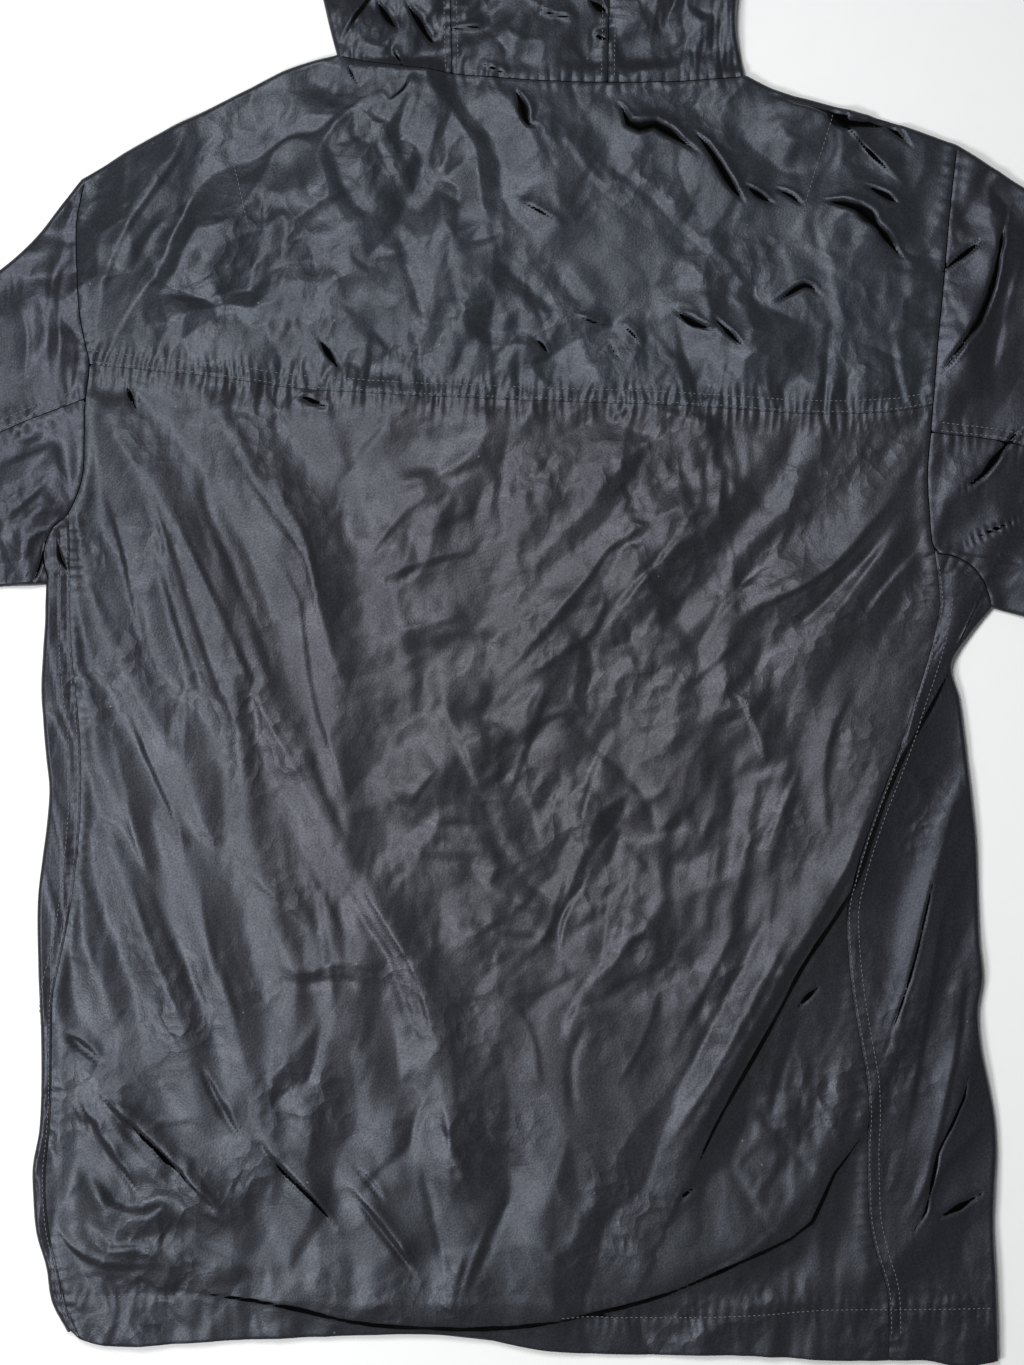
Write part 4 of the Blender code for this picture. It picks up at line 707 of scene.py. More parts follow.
# ---- gathers along the seams -------------------------------------------------------------------
HEM_GATHERS = ([(-280, 32), (-247, 31), (-205, 31)],
               [(25, 19), (85, 18), (142, 20), (183, 23), (232, 23), (281, 24)])
JOIN_WIDTH = 0.9          # half width of the groove in which two pieces meet
GATHER_WANDER, GATHER_REACH = 0.55, 2.6
GATHER_MEAN, GATHER_SWING = 0.62, 0.38
GATHER_DRIFT, GATHER_SWELL = (2.3, 16), (0.9, 50)     # length in pitches, width in millimetres
GATHER_SHARP = 0.7        # below 1 the waves have sharp hollows
GATHER_FAR = (0.55, 0.75)                 # share of the reach: least, and what a gather's size adds


def gathered_seams():
    """Line, depth of the join, reach and height of the gathers on its left and right, pitch."""
    seams = [
        (even(YOKE_LINE, 60), 0.15, (12, 0.9), (10, 0.8), 5.2),
        (spread(NECK_LINE, 40), 0.35, (7, 0.5), (7, 0.4), 7.0),
        (spread(np.array(HEM_GATHERS[0], float), 20), 0.3, (8, 0.4), (8, 0.35), 6.0),
        (fine(HEM_GATHERS[1]), 0.3, (9, 0.45), (9, 0.4), 6.0),
    ]
    for side in SIDES:
        top = side["in"]["hood"][(HOOD_ROWS + NECK_COLUMNS[0 if side is LEFT else 2]) * FINE]
        hood_line = even([side["hood_seam_neck"], *side["hood_seam"], top], 36)
        sleeve_line = spread(sleeve_seam(side, "back_arm", SLEEVE_MARK, True), 40)
        seams += [
            (spread(side["back_arm"], 44), 0.45, (7, 0.35), (7, 0.35), 8.0),
            (spread(side["seam"], 44), 0.2, (8, 0.5), (8, 0.5), 6.6),
            (sleeve_line, 0.35, (9, 0.5), (9, 0.5), 6.0),
            (hood_line, 0.35, (9, 0.5), (9, 0.5), 6.4),
        ]
    return seams


GATHERED = gathered_seams()
FOLD_LINES = [even(line, RIDGE_CHORDS) for _, _, line in RIDGES]
BAG_LINES = [even(bag[-1], BAG_CHORDS) for bag in BAGS]
CREASE_LINES = [even(crease[-1], CREASE_CHORDS) for crease in CREASES]


def gathers(xy):
    """Height of the gathers beside the seams, and the distance to a seam in its half widths, which
    the material turns into painted shade along the seam.
    """
    total, away = np.zeros(len(xy)), np.full(len(xy), FAR)
    for k, (line, depth, left, right, pitch) in enumerate(GATHERED):
        ids, off, place = near_line(xy, line, GATHER_REACH * max(left[0], right[0]))
        wander = noise(place / (GATHER_DRIFT[0] * pitch), off / GATHER_DRIFT[1], k) * GATHER_WANDER
        wave = 1 - 2 * np.abs(np.sin(np.pi * (place / pitch + wander))) ** GATHER_SHARP
        swing = noise(place / (GATHER_SWELL[0] * pitch), off / GATHER_SWELL[1] + 5, k + 3)
        size = GATHER_MEAN + GATHER_SWING * swing
        for chosen, (reach, height) in ((off >= 0, left), (off < 0, right)):
            far = np.abs(off) / (reach * (GATHER_FAR[0] + GATHER_FAR[1] * size))
            total[ids] -= np.where(chosen, height * size * wave * np.exp(-far ** 3), 0)
        total[ids] -= depth * np.exp(-(off / JOIN_WIDTH) ** 2)
        away[ids] = np.minimum(away[ids], np.abs(off) / (SEAM_WIDTH * depth))
    return total, away


# ---- height of the cloth -----------------------------------------------------------------------
HEM_SOFT = 6              # width of the step at the top of the turned hem
END_SHARE, END_HEIGHT = 0.25, 0.25        # a fold runs out over this share, to this much height


def hem_share(xy):
    on_hem = 1 - smooth((xy[:, 1] - HEM_DEPTH) / HEM_SOFT)
    return np.where(np.abs(xy[:, 0]) < BODY_HALF, on_hem, 0.0)


def zip_rise(y):
    return ZIP_RISE * smooth(1.25 - np.abs(y - SLIDER_Y) / ZIP_RISE_REACH)


def run_out(line, place):
    share = place / lengths(line)[-1]
    return fade(share, END_SHARE) * (1 - END_HEIGHT) + END_HEIGHT


def folds(xy):
    """Height of the big folds."""
    total = np.zeros(len(xy))
    for (height, width, _), line in zip(RIDGES, FOLD_LINES):
        ids, off, place = near_line(xy, line, 3 * width)
        total[ids] += FOLD_SHARE * height * np.exp(-(off / width) ** 2) * run_out(line, place)
    for (height, drop, sink, behind, _), line in zip(BAGS, BAG_LINES):
        ids, off, place = near_line(xy, line, 5 * sink)
        off = off * behind
        rise = np.where(off > 0, np.exp(-np.abs(off) / sink), smooth(1 + off / drop))
        total[ids] += height * rise * run_out(line, place)
    return total


def creases(xy, kinds=tuple(KINDS)):
    """Height of the creases, and the distance to the nearest slit in its half widths, which the
    material turns into painted shade in the slit.
    """
    total, away = np.zeros(len(xy)), np.full(len(xy), FAR)
    for k, ((kind, height, width, _), line) in enumerate(zip(CREASES, CREASE_LINES)):
        if kind not in kinds:
            continue
        profile, reach, height_share = KINDS[kind]
        ids, off, place = near_line(xy, line, reach * width)
        share = place / lengths(line)[-1]
        uneven = 1 + CREASE_UNEVEN[0] * noise(place / CREASE_UNEVEN[1], off / UNEVEN_WIDE, k)
        if kind == "ridge" and k % 2:
            off = -off
        taper = fade(share, CREASE_TAPER) ** 0.6 * uneven
        if kind in NARROWED:
            width = np.maximum(width * taper, LEAST_WIDTH)
        form = height_share * height * uneven * profile(off, width)
        total[ids] += form * fade(share, CREASE_RUN_OUT)
        if kind in PAINTED_SLIT_SHADES:
            shift, slit = PAINTED_SLIT_SHADES[kind]
            gap = np.abs(off + shift) / np.maximum(slit * width * taper, LEAST_SLIT)
            away[ids] = np.minimum(away[ids], gap)
    for (*_, behind, _), line in zip(BAGS, BAG_LINES):
        ids, off, place = near_line(xy, line, BAG_REACH)
        uneven = 1 + BAG_UNEVEN[0] * noise(place / BAG_UNEVEN[1], off / UNEVEN_WIDE, 3)
        taper = fade(place / lengths(line)[-1], BAG_RUN_OUT) * uneven
        slit = np.maximum(BAG_SLIT_WIDTH * taper, LEAST_SLIT)
        away[ids] = np.minimum(away[ids], np.abs(off * behind + BAG_SLIT) / slit)
    return total, away


# ---- the wrinkled sheet ------------------------------------------------------------------------
# The upper layer has a little more cloth than the space it lies in, so it has to wrinkle. It is
# relaxed on finer and finer grids: step, passes, resistance to bending, and share of the excess
# at the sides and elsewhere.
LEVELS = [(8, 350, 0.03, 0.65, 0.8), (4, 300, 0.04, 1.0, 1.0), (2, 200, 0.04, 1.12, 1.0)]
SHEET_LEFT, SHEET_RIGHT, SHEET_FOOT, SHEET_TOP = -680, 680, -32, 1128
SHEAR_SHARE = 0.7
HOLD, PULL, SEAM_PULL, SEAM_REACH = 0.03, 0.001, 0.12, 3.0

# excess of cloth across and along the streaks
EXCESS = {
    "side": (0.026, 0.0015),
    "middle": (0.006, 0.001),
    "foot": (0.009, 0.001),
    "yoke": (0.010, 0.002),
    "sleeve": (0.020, 0.003),
    "hood": (0.022, 0.004),
}
# first swells of the wrinkles: grid step, zone, lean, turn, pitch across and along, height
SEEDS = [
    (8, "side", 1, 0, 36, 150, 1.3),
    (8, "middle", 0, 0, 44, 56, 1.6),
    (8, "yoke", 0, 0, 60, 70, 2.4),
    (8, "sleeve", 0, 0, 40, 56, 2.2),
    (8, "hood", 0, 0, 34, 44, 2.4),
    (4, "side", 1, 0, 16, 80, 0.65),
    (4, "middle", 0, 30, 22, 34, 0.5),
    (4, "yoke", 0, 14, 24, 40, 0.7),
    (4, "sleeve", 0, 20, 20, 26, 0.9),
    (4, "hood", 0, -20, 18, 24, 1.0),
    (2, "side", 1, 0, 8, 30, 0.14),
    (2, "middle", 0, 38, 10, 14, 0.2),
    (8, "foot", 1, 0, 44, 90, 1.6),
    (4, "foot", 1, 0, 20, 50, 0.6),
]
# plane facets pressed into the cloth: zone, the turns of two sets that cross, pitch across and
# along, height
PLANES = [
    ("side", -6, 14, 28, 110, 0.9),
    ("side", 24, -30, 12, 34, 0.35),
    ("middle", 38, -34, 40, 76, 5.6),
    ("middle", 62, 14, 19, 40, 2.4),
    ("middle", -20, 70, 9, 18, 0.7),
    ("yoke", -30, 34, 52, 84, 7.0),
    ("yoke", 14, -55, 24, 46, 2.8),
    ("yoke", 50, -10, 10, 22, 0.5),
    ("flames", 8, -9, 12, 60, 2.2),
    ("sleeve", -40, 20, 26, 50, 2.8),
    ("hood", 30, -50, 26, 48, 3.4),
    ("hood", -10, 60, 12, 24, 1.0),
    ("foot", -20, 36, 60, 90, 5.0),
    ("foot", 24, -45, 24, 44, 1.8),
]
# where one part of the garment passes into the next: place, and width of the change
SLEEVE_FROM, SLEEVE_FOOT, SLEEVE_ALL = (266, 20), (430, 20), (296, 10)
HOOD_FROM, YOKE_FROM = (762, 10), (560, 16)
FOOT_TOP, FOOT_RIGHT = (250, 90), (150, 80)
MIDDLE_X, MIDDLE_WIDTH = 25, 115
FLAMES_Y, FLAMES_REACH = 572, 24          # short wrinkles that rise from the yoke seam
CALM_RIGHT = 0.45         # how much less the right of the body is wrinkled
PLANE_RISE = 0.3          # keeps the lower of two facets from sinking the cloth
WILD = {8: 80, 4: 50, 2: 32}              # how far the way of the creases keeps, at each step
WILD_TURN, SLOW_TURN = 1.9, 0.3           # how far it turns, in radians
SLOW_LONG = (50, 90)      # length of the slow swells, in x and y
RIGHT_FROM = (120, 90)
FOOT_CALM = 0.8
VARY_MEAN, VARY_SWING, VARY_LONG, VARY_LIMITS = 0.9, 0.6, (70, 90), (0.2, 2)
# how the facets' edges wander: size and length of the slow bends, size and rate of the quick ones
FACET_BEND, FACET_FRAY = (0.55, 1.6), (0.16, 2.6)
SKEW = 0.366              # lays the corners of the facets out in triangles
SWELL_MEAN, SWELL_SWING, SWELL_LONG = 0.65, 0.7, 60
PLANE_LEAST, PLANE_CONTRAST, PLANE_SPREAD = 0.35, 1.6, 3


def past(place, edge):
    return smooth((place - edge[0]) / edge[1])


def short_of(place, edge):
    return smooth((edge[0] - place) / edge[1])


def zones(x, y):
    """How far each place belongs to each part of the garment."""
    sleeve = np.maximum(past(np.abs(x), SLEEVE_FROM) * past(y, SLEEVE_FOOT),
                        past(np.abs(x), SLEEVE_ALL))
    hood = past(y, HOOD_FROM) * (1 - sleeve)
    yoke = past(y, YOKE_FROM) * (1 - sleeve) - hood
    body = 1 - sleeve - hood - np.maximum(yoke, 0)
    foot = body * short_of(y, FOOT_TOP) * short_of(x, FOOT_RIGHT)
    middle = (body - foot) * np.exp(-((x - MIDDLE_X) / MIDDLE_WIDTH) ** 2)
    above = (y - FLAMES_Y) / FLAMES_REACH
    flames = (1 - sleeve) * np.where(above > 0, np.exp(-above), smooth(1 + above))
    return {"side": body - foot - middle, "middle": middle, "foot": foot,
            "yoke": np.maximum(yoke, 0), "sleeve": sleeve, "hood": hood, "flames": flames}


def sheet_excess(x, y, zone, step):
    """Way across the wrinkles at each point, and the excess across and along them."""
    slope_x, slope_y = (flow(x + 1, y) - flow(x - 1, y)) / 2, (flow(x, y + 1) - flow(x, y - 1)) / 2
    loose = 1 - zone["side"] - FOOT_CALM * zone["foot"]
    body = zone["side"] + zone["middle"]
    way = np.arctan2(slope_y, slope_x)
    way += (WILD_TURN * loose * noise(x / WILD[step], y / WILD[step], 9)
            + SLOW_TURN * noise(x / SLOW_LONG[0], y / SLOW_LONG[1], 10))
    swing = noise(x / VARY_LONG[0], y / VARY_LONG[1], 8)
    vary = np.clip(VARY_MEAN + VARY_SWING * swing, *VARY_LIMITS)
    vary *= 1 - CALM_RIGHT * body * past(x, RIGHT_FROM)
    wide, long = (vary * sum(zone[name] * EXCESS[name][k] for name in EXCESS) for k in (0, 1))
    return np.cos(way), np.sin(way), wide, long


def facets(x, y, seed):
    """Plane facets with sharp creases between random heights, about one corner to each unit."""
    table, size = LATTICES[seed % len(LATTICES)], LATTICE_SIZE
    (bend, slow), (fray, quick) = FACET_BEND, FACET_FRAY
    u, v = (axis + bend * noise(x / slow, y / slow, k) + fray * noise(x * quick, y * quick, k + 2)
            for axis, k in ((x, seed + 1), (y, seed + 2)))
    skew = (u + v) * SKEW
    u, v = u + skew + FACET_SHIFT[0] * seed, v + skew + FACET_SHIFT[1] * seed
    i, j = np.floor(u).astype(int), np.floor(v).astype(int)
    a, b = u - i, v - j
    i, j, k, m = i % size, j % size, (i + 1) % size, (j + 1) % size
    first, last = table[i, j], table[k, m]
    corner = np.where(a > b, table[k, j], table[i, m])
    return first * (1 - np.maximum(a, b)) + corner * np.abs(a - b) + last * np.minimum(a, b)


def turned(x, y, turn, wide, long):
    turn = np.radians(turn)
    return ((x * np.cos(turn) - y * np.sin(turn)) / wide,
            (x * np.sin(turn) + y * np.cos(turn)) / long)


def swells(x, y, zone, step):
    total = np.zeros_like(x)
    for k, (level, name, lean, turn, wide, long, height) in enumerate(SEEDS):
        if level == step:
            patchy = 1
            if level != LEVELS[0][0]:
                patchy = SWELL_MEAN + SWELL_SWING * noise(x / SWELL_LONG, y / SWELL_LONG, k + 4)
            form = noise(*turned(flow(x, y) if lean else x, y, turn, wide, long), k + 1)
            total += zone[name] * height * patchy * form
    return total


def planes(x, y):
    """Plane facets between sharp ridges, at several sizes."""
    total, zone = np.zeros_like(x), zones(x, y)
    for k, (name, turn, crossing, wide, long, height) in enumerate(PLANES):
        u = flow(x, y) if name == "side" else x
        first = facets(*turned(u, y, turn, wide, long), 2 * k)
        second = facets(*turned(u, y, crossing, wide, long), 2 * k + 5)
        patch_size = PLANE_SPREAD * wide
        shown = smooth(0.5 + PLANE_CONTRAST * noise(x / patch_size, y / patch_size, k + 5))
        patchy = PLANE_LEAST + (1 - PLANE_LEAST) * shown
        total += zone[name] * height * patchy * (np.minimum(first, second) + PLANE_RISE)
    return total


def part_from(near, far, rest, share):
    """Move two sets of points along their links until the links have their rest lengths."""
    run = [b - a for a, b in zip(near, far)]
    size = np.sqrt(run[0] ** 2 + run[1] ** 2 + run[2] ** 2)
    move = 0.5 * share * (1 - rest / size)
    for a, b, r in zip(near, far, run):
        r *= move
        a += r
        b -= r


def relax(points, still, base, rests, passes, stiffness, pull):
    """Pass after pass, give every link of the grid its rest length and smooth the bends."""
    z = points[2]
    rows, columns = z.shape
    across_rest, up_rest, rising_rest, falling_rest = rests
    for _ in range(passes):
        for s in (0, 1):
            end = s + (columns - s) // 2 * 2
            part_from([p[:, s:end:2] for p in points], [p[:, s + 1:end:2] for p in points],
                      across_rest[:, s:end:2], 1.0)
            end = s + (rows - s) // 2 * 2
            part_from([p[s:end:2] for p in points], [p[s + 1:end:2] for p in points],
                      up_rest[s:end:2], 1.0)
            part_from([p[s:end:2, :-1] for p in points], [p[s + 1:end:2, 1:] for p in points],
                      rising_rest[s:end:2], SHEAR_SHARE)
            part_from([p[s:end:2, 1:] for p in points], [p[s + 1:end:2, :-1] for p in points],
                      falling_rest[s:end:2], SHEAR_SHARE)
        bend = np.zeros_like(z)
        bend[1:-1, 1:-1] = around(z)
        z[1:-1, 1:-1] -= stiffness * around(bend)
        z += pull * (base - z)
        for axis, first in zip(points, still):
            axis += HOLD * (first - axis)


def around(field):
    """Mean of the four neighbours less the point itself, inside the border."""
    return (0.25 * (field[:-2, 1:-1] + field[2:, 1:-1] + field[1:-1, :-2] + field[1:-1, 2:])
            - field[1:-1, 1:-1])


def finer(field):
    """The same field on a grid of half the step."""
    rows, columns = field.shape
    wide = np.empty((rows, 2 * columns - 1), field.dtype)
    wide[:, ::2], wide[:, 1::2] = field, (field[:, :-1] + field[:, 1:]) / 2
    tall = np.empty((2 * rows - 1, 2 * columns - 1), field.dtype)
    tall[::2], tall[1::2] = wide, (wide[:-1] + wide[1:]) / 2
    return tall


def sheet_base(x, y):
    """Height of the big folds on a grid, and a pull that grows towards the seams."""
    xy = np.column_stack([x.ravel(), y.ravel()])
    pull = np.full(len(xy), PULL)
    for line, depth, *_ in GATHERED:
        ids, off, _ = near_line(xy, line, 3 * SEAM_REACH)
        pull[ids] = np.maximum(pull[ids], SEAM_PULL * depth * np.exp(-(off / SEAM_REACH) ** 2))
    return folds(xy).reshape(x.shape), pull.reshape(x.shape)


def link_rests(step, way_x, way_y, wide, long):
    """Rest lengths of the level, upright and both slanting links of a grid."""
    ends = [(step, 0, np.s_[:, :-1]), (0, step, np.s_[:-1]),
            (step, step, np.s_[:-1, :-1]), (-step, step, np.s_[:-1, 1:])]
    rests = []
    for dx, dy, part in ends:
        size = np.hypot(dx, dy)
        turn = ((dx * way_x[part] + dy * way_y[part]) / size) ** 2
        rests.append((size * (1 + wide[part] * turn + long[part] * (1 - turn))).astype(np.float32))
    return rests


def wrinkled_sheet():
    """Relief of the relaxed cloth above its big folds, on a grid of half the finest step."""
    shift = None
    for step, passes, stiffness, side_share, share in LEVELS:
        x, y = np.meshgrid(np.arange(SHEET_LEFT, SHEET_RIGHT + 1, step, dtype=float),
                           np.arange(SHEET_FOOT, SHEET_TOP + 1, step, dtype=float))
        zone = zones(x, y)
        base, pull = sheet_base(x, y)
        if shift is None:
            shift = [np.zeros_like(x), np.zeros_like(x), np.zeros_like(x)]
        else:
            shift = [finer(field) for field in shift]
        relief = shift[2] + swells(x, y, zone, step)
        if step == LEVELS[1][0]:
            xy = np.column_stack([x.ravel(), y.ravel()])
            relief += creases(xy, ("ridge", "trough"))[0].reshape(x.shape)
        way_x, way_y, wide, long = sheet_excess(x, y, zone, step)
        share = share + (side_share - share) * zone["side"]
        rests = link_rests(step, way_x, way_y, wide * share, long * share)
        points = [f.astype(np.float32) for f in (x + shift[0], y + shift[1], base + relief)]
        still = [x.astype(np.float32), y.astype(np.float32)]
        relax(points, still, base.astype(np.float32), rests, passes, stiffness,
              pull.astype(np.float32))
        shift = [points[0] - x, points[1] - y, points[2] - base]
    return finer(shift[2])


RELIEF_STEP = LEVELS[-1][0] / 2


def sampled(xy):
    """Relief of the wrinkled sheet at points of the pattern."""
    u = (xy[:, 0] - SHEET_LEFT) / RELIEF_STEP
    v = (xy[:, 1] - SHEET_FOOT) / RELIEF_STEP
    u = np.clip(u, 0, RELIEF.shape[1] - 1.001)
    v = np.clip(v, 0, RELIEF.shape[0] - 1.001)
    i, j = u.astype(int), v.astype(int)
    a, b = u - i, v - j
    low = RELIEF[j, i] * (1 - a) + RELIEF[j, i + 1] * a
    high = RELIEF[j + 1, i] * (1 - a) + RELIEF[j + 1, i + 1] * a
    return low * (1 - b) + high * b


RELIEF = wrinkled_sheet()


# ---- both faces of the garment -----------------------------------------------------------------
LIFT = 0.8                # keeps the deepest hollows clear of the lower layer
LEAST_CLEAR = 0.4         # least room between the two layers
LUMP_WIDTH, ZIP_SLOPE = 26, 40            # how far the zip lifts the upper and the lower layer
LOWER_SHARE, LOWER_MOST = 0.6, 1.4        # the lower layer's wrinkles, mirrored from the sheet


def soft_floor(z, low, width=1.2):
    """The height, kept above a lowest one with a rounded bend."""
    over = z - low
    return low + np.where(over > width, over, np.maximum(over + width, 0) ** 2 / (4 * width))


def upper(xy, shade=False):
    """Height of the upper layer's outer face, and on demand the distance to slits and seams, which
    the material turns into painted shade.
    """
    shape = xy.shape[:-1]
    xy = xy.reshape(-1, 2)
    x, y = xy.T
    lump = zip_rise(y) * np.exp(-((x - ZIP_X) / LUMP_WIDTH) ** 2)
    z = LOFT + folds(xy) + HEM_EXTRA * hem_share(xy) + lump + sampled(xy) + planes(x, y)
    (crease, slits), (gather, joins) = creases(xy), gathers(xy)
    z = soft_floor(z + LIFT + crease + gather, 2 * CLOTH + LEAST_CLEAR).reshape(shape)
    return (z, np.minimum(slits, joins).reshape(shape)) if shade else z


def lower(xy):
    """Height of the lower layer's outer face: on the table, with shallow creases."""
    shape = xy.shape[:-1]
    xy = xy.reshape(-1, 2)
    x, y = xy.T
    z = zip_rise(y) * smooth(1 - (np.abs(x - ZIP_X) - ZIP_SLIT) / ZIP_SLOPE)
    wrinkles = np.clip(LOWER_SHARE * sampled(xy * (-1, 1)), 0, LOWER_MOST)
    return (z + wrinkles).reshape(shape)


# ---- shells ------------------------------------------------------------------------------------
WELD = 0.005              # points nearer than this are one
TURNED_DEPTH = 12.0       # how far a turned edge runs back inside
# section of a turned edge: share of the way inside, and depth below the outer face
TURNED = [(0, 0), (-0.45, 0.25), (-0.6, 0.65), (-0.45, 1.05), (0, CLOTH), (TURNED_DEPTH, CLOTH)]


class Shell:
    """One cut piece of cloth as grids of outer points, each with its way out."""

    def __init__(self):
        self.blocks = []

    def grid(self, points, ways, shade=FAR):
        self.blocks.append((points, np.broadcast_to(ways, points.shape),
                            np.broadcast_to(shade, points.shape[:2])))

    def layer(self, on_top, start, end, low, high):
        xy = patch(start, end, low, high)
        z, shade = upper(xy, True) if on_top else (lower(xy), FAR)
        self.grid(np.dstack([xy, z]), np.array((0.0, 0.0, 1.0 if on_top else -1.0)), shade)

    def turn(self, tangents, outward):
        """The rounded edge from the upper layer, over the outline, to the lower layer."""
        top, foot = upper(tangents), lower(tangents)
        middle, half = (top + foot) / 2, (top - foot) / 2
        rows, ways = [], []
        for step in range(EDGE_STEPS + 1):
            angle = np.pi * step / EDGE_STEPS
            flat = tangents + outward * EDGE_RADIUS * np.sin(angle)
            z = top if step == 0 else foot if step == EDGE_STEPS else middle + half * np.cos(angle)
            rows.append(np.column_stack([flat if 0 < step < EDGE_STEPS else tangents, z]))
            ways.append(np.column_stack([outward * np.sin(angle), np.full(len(top), np.cos(angle))]))
        self.grid(np.array(rows), np.array(ways))

    def hem(self, on_top, chain, inward):
        """A turned edge: the cloth rolls over the chain and runs back inside."""
        z = upper(chain) if on_top else lower(chain)
        way = 1.0 if on_top else -1.0
        inward = np.broadcast_to(unit(np.array(inward, float)), chain.shape)
        rows = [np.column_stack([chain + inward * back, z - way * down]) for back, down in TURNED]
        ways = [np.column_stack([-inward * min(down, CLOTH - down),
                                 np.full(len(z), way * (CLOTH / 2 - down))])
                for _, down in TURNED]
        self.grid(np.array(rows), np.array(ways))

    def build(self, name, material):
        points, ways, shades, faces, first = [], [], [], [], 0
        for grid, way, shade in self.blocks:
            rows, columns = grid.shape[:2]
            ids = first + np.arange(rows * columns).reshape(rows, columns)
            faces.append(np.stack([ids[:-1, :-1], ids[:-1, 1:], ids[1:, 1:], ids[1:, :-1]],
                                  axis=-1).reshape(-1, 4))
            points.append(grid.reshape(-1, 3))
            ways.append(way.reshape(-1, 3))
            shades.append(shade.reshape(-1))
            first += rows * columns
        points, ways, faces = np.vstack(points), np.vstack(ways), np.vstack(faces)
        kept, ids = welded(points)
        points, faces = points[kept], ids[faces]
        face_outwards(points, faces, ways[kept])
        piece = add_mesh(name, points, whole_faces(faces), material)
        # the distance to slits and seams at each point, which the material turns into painted shade
        shade = piece.data.attributes.new("slit", "FLOAT", "POINT")
        shade.data.foreach_set("value", np.concatenate(shades)[kept])
        return piece


def welded(points):
    """The points to keep, one of each place, and which of them stands for each point."""
    keys = np.round(points / WELD).astype(np.int64)
    _, kept, ids = np.unique(keys, axis=0, return_index=True, return_inverse=True)
    return kept, ids.reshape(-1)


def face_outwards(points, faces, ways):
    """Turn round the faces that look against the way out of their corners."""
    diagonals = np.cross(points[faces[:, 2]] - points[faces[:, 0]],
                         points[faces[:, 3]] - points[faces[:, 1]])
    wrong = np.sum(diagonals * ways[faces].sum(axis=1), axis=1) < 0
    faces[wrong] = faces[wrong][:, ::-1]


def whole_faces(faces):
    """Faces as lists, with corners that fell together taken once and slivers left out."""
    same = faces == np.roll(faces, 1, axis=1)
    whole = faces[~same.any(axis=1)].tolist()
    for face, repeat in zip(faces[same.any(axis=1)], same[same.any(axis=1)]):
        corners = face[~repeat]
        if len(set(corners.tolist())) >= 3:
            whole.append(corners.tolist())
    return whole


def add_mesh(name, points, faces, material, shaded=True):
    placed = np.array(points, float)
    placed[:, :2] -= ORIGIN
    data = bpy.data.meshes.new(name)
    data.from_pydata((placed * MM).tolist(), [], faces)
    data.materials.append(material)
    data.polygons.foreach_set("use_smooth", [shaded] * len(data.polygons))
    data.update()
    piece = bpy.data.objects.new(name, data)
    bpy.context.scene.collection.objects.link(piece)
    return piece


def pick(chain, share):
    return chain[::FINE // share]


def joined(*chains):
    return np.vstack([chains[0], *(chain[1:] for chain in chains[1:])])


def closed_ends(chain, first=None, last=None):
    chain = chain.copy()
    if first is not None:
        chain[0] = first
    if last is not None:
        chain[-1] = last
    return chain


# ---- materials ---------------------------------------------------------------------------------
def node(tree, kind, inputs=(), **settings):
    made = tree.nodes.new(kind)
    for name, value in settings.items():
        setattr(made, name, value)
    for socket, value in dict(inputs).items():
        if hasattr(value, "is_output"):
            tree.links.new(value, made.inputs[socket])
        else:
            made.inputs[socket].default_value = value
    return made


# scales of the nylon's patterns, in swells or cells to the metre
WEAVE_SCALE, CLOUD_SCALE, GLOSS_SCALE, LINT_SCALE = 800.0, 9.0, 30.0, 42.0
DRIFT_SCALE, PATCH_SCALE, CRINKLE_SCALE, CRUMPLE_SCALE = 40.0, 16.0, 95.0, 40.0
CRUMPLE_TURN, CRUMPLE_SCALES = 0.66, (1.5, 0.8, 1.0)          # radians, share of each axis
CRINKLE_WARP, CRUMPLE_WARP = 0.02, 0.007                      # metres
CRUMPLE_BUMP, CRINKLE_BUMP, WEAVE_BUMP, WEAVE_STRENGTH = 0.0006, 0.0008, 0.00018, 0.6
PATCH_RANGE = (0.45, 0.65)
# from min, from max, to min, to max
WEAVE_TONE, LINT_TONE = (0.3, 0.7, 0.78, 1.22), (0.03, 0.02, 0.0, 0.10)
GLOSS_ROUGHNESS, PLAIN_ROUGHNESS, NYLON_SHEEN = (0.3, 0.7, 0.40, 0.47), 0.46, 0.06
# between these distances from a slit or seam, in its half widths, the cloth turns dull, and its
# colour and sheen darken as painted shade
SLIT_EDGE, SLIT_PAINTED_SHADE, SLIT_DULL = (1.2, 0.8), 0.02, 0.5


def new_material(name, roughness, specular=0.5, sheen=0.0, tint=(1, 1, 1)):
    material = bpy.data.materials.new(name)
    material.use_nodes = True
    shader = material.node_tree.nodes["Principled BSDF"]
    shader.inputs["Roughness"].default_value = roughness
    shader.inputs["Specular IOR Level"].default_value = specular
    shader.inputs["Sheen Weight"].default_value = sheen
    shader.inputs["Specular Tint"].default_value = (*tint, 1)
    return material, material.node_tree, shader


def noise_of(tree, place, scale, detail):
    return node(tree, "ShaderNodeTexNoise", {"Vector": place, "Scale": scale, "Detail": detail})


def ranged(tree, value, *limits, **settings):
    """The value taken from one range to another: from min, from max, to min, to max."""
    names = ("From Min", "From Max", "To Min", "To Max")
    inputs = {"Value": value, **dict(zip(names, limits))}
    return node(tree, "ShaderNodeMapRange", inputs, **settings).outputs[0]


def maths(tree, operation, *values):
    return node(tree, "ShaderNodeMath", dict(enumerate(values)), operation=operation).outputs[0]


def vectors(tree, operation, *values):
    return node(tree, "ShaderNodeVectorMath", dict(enumerate(values)), operation=operation)


def mixed(tree, share, colour, other):
    return node(tree, "ShaderNodeMix", {0: share, 6: (*colour, 1), 7: (*other, 1)},
                data_type="RGBA").outputs[2]


def bumped(tree, height, distance, **inputs):
    return node(tree, "ShaderNodeBump", {"Height": height, "Distance": distance, **inputs}).outputs[0]


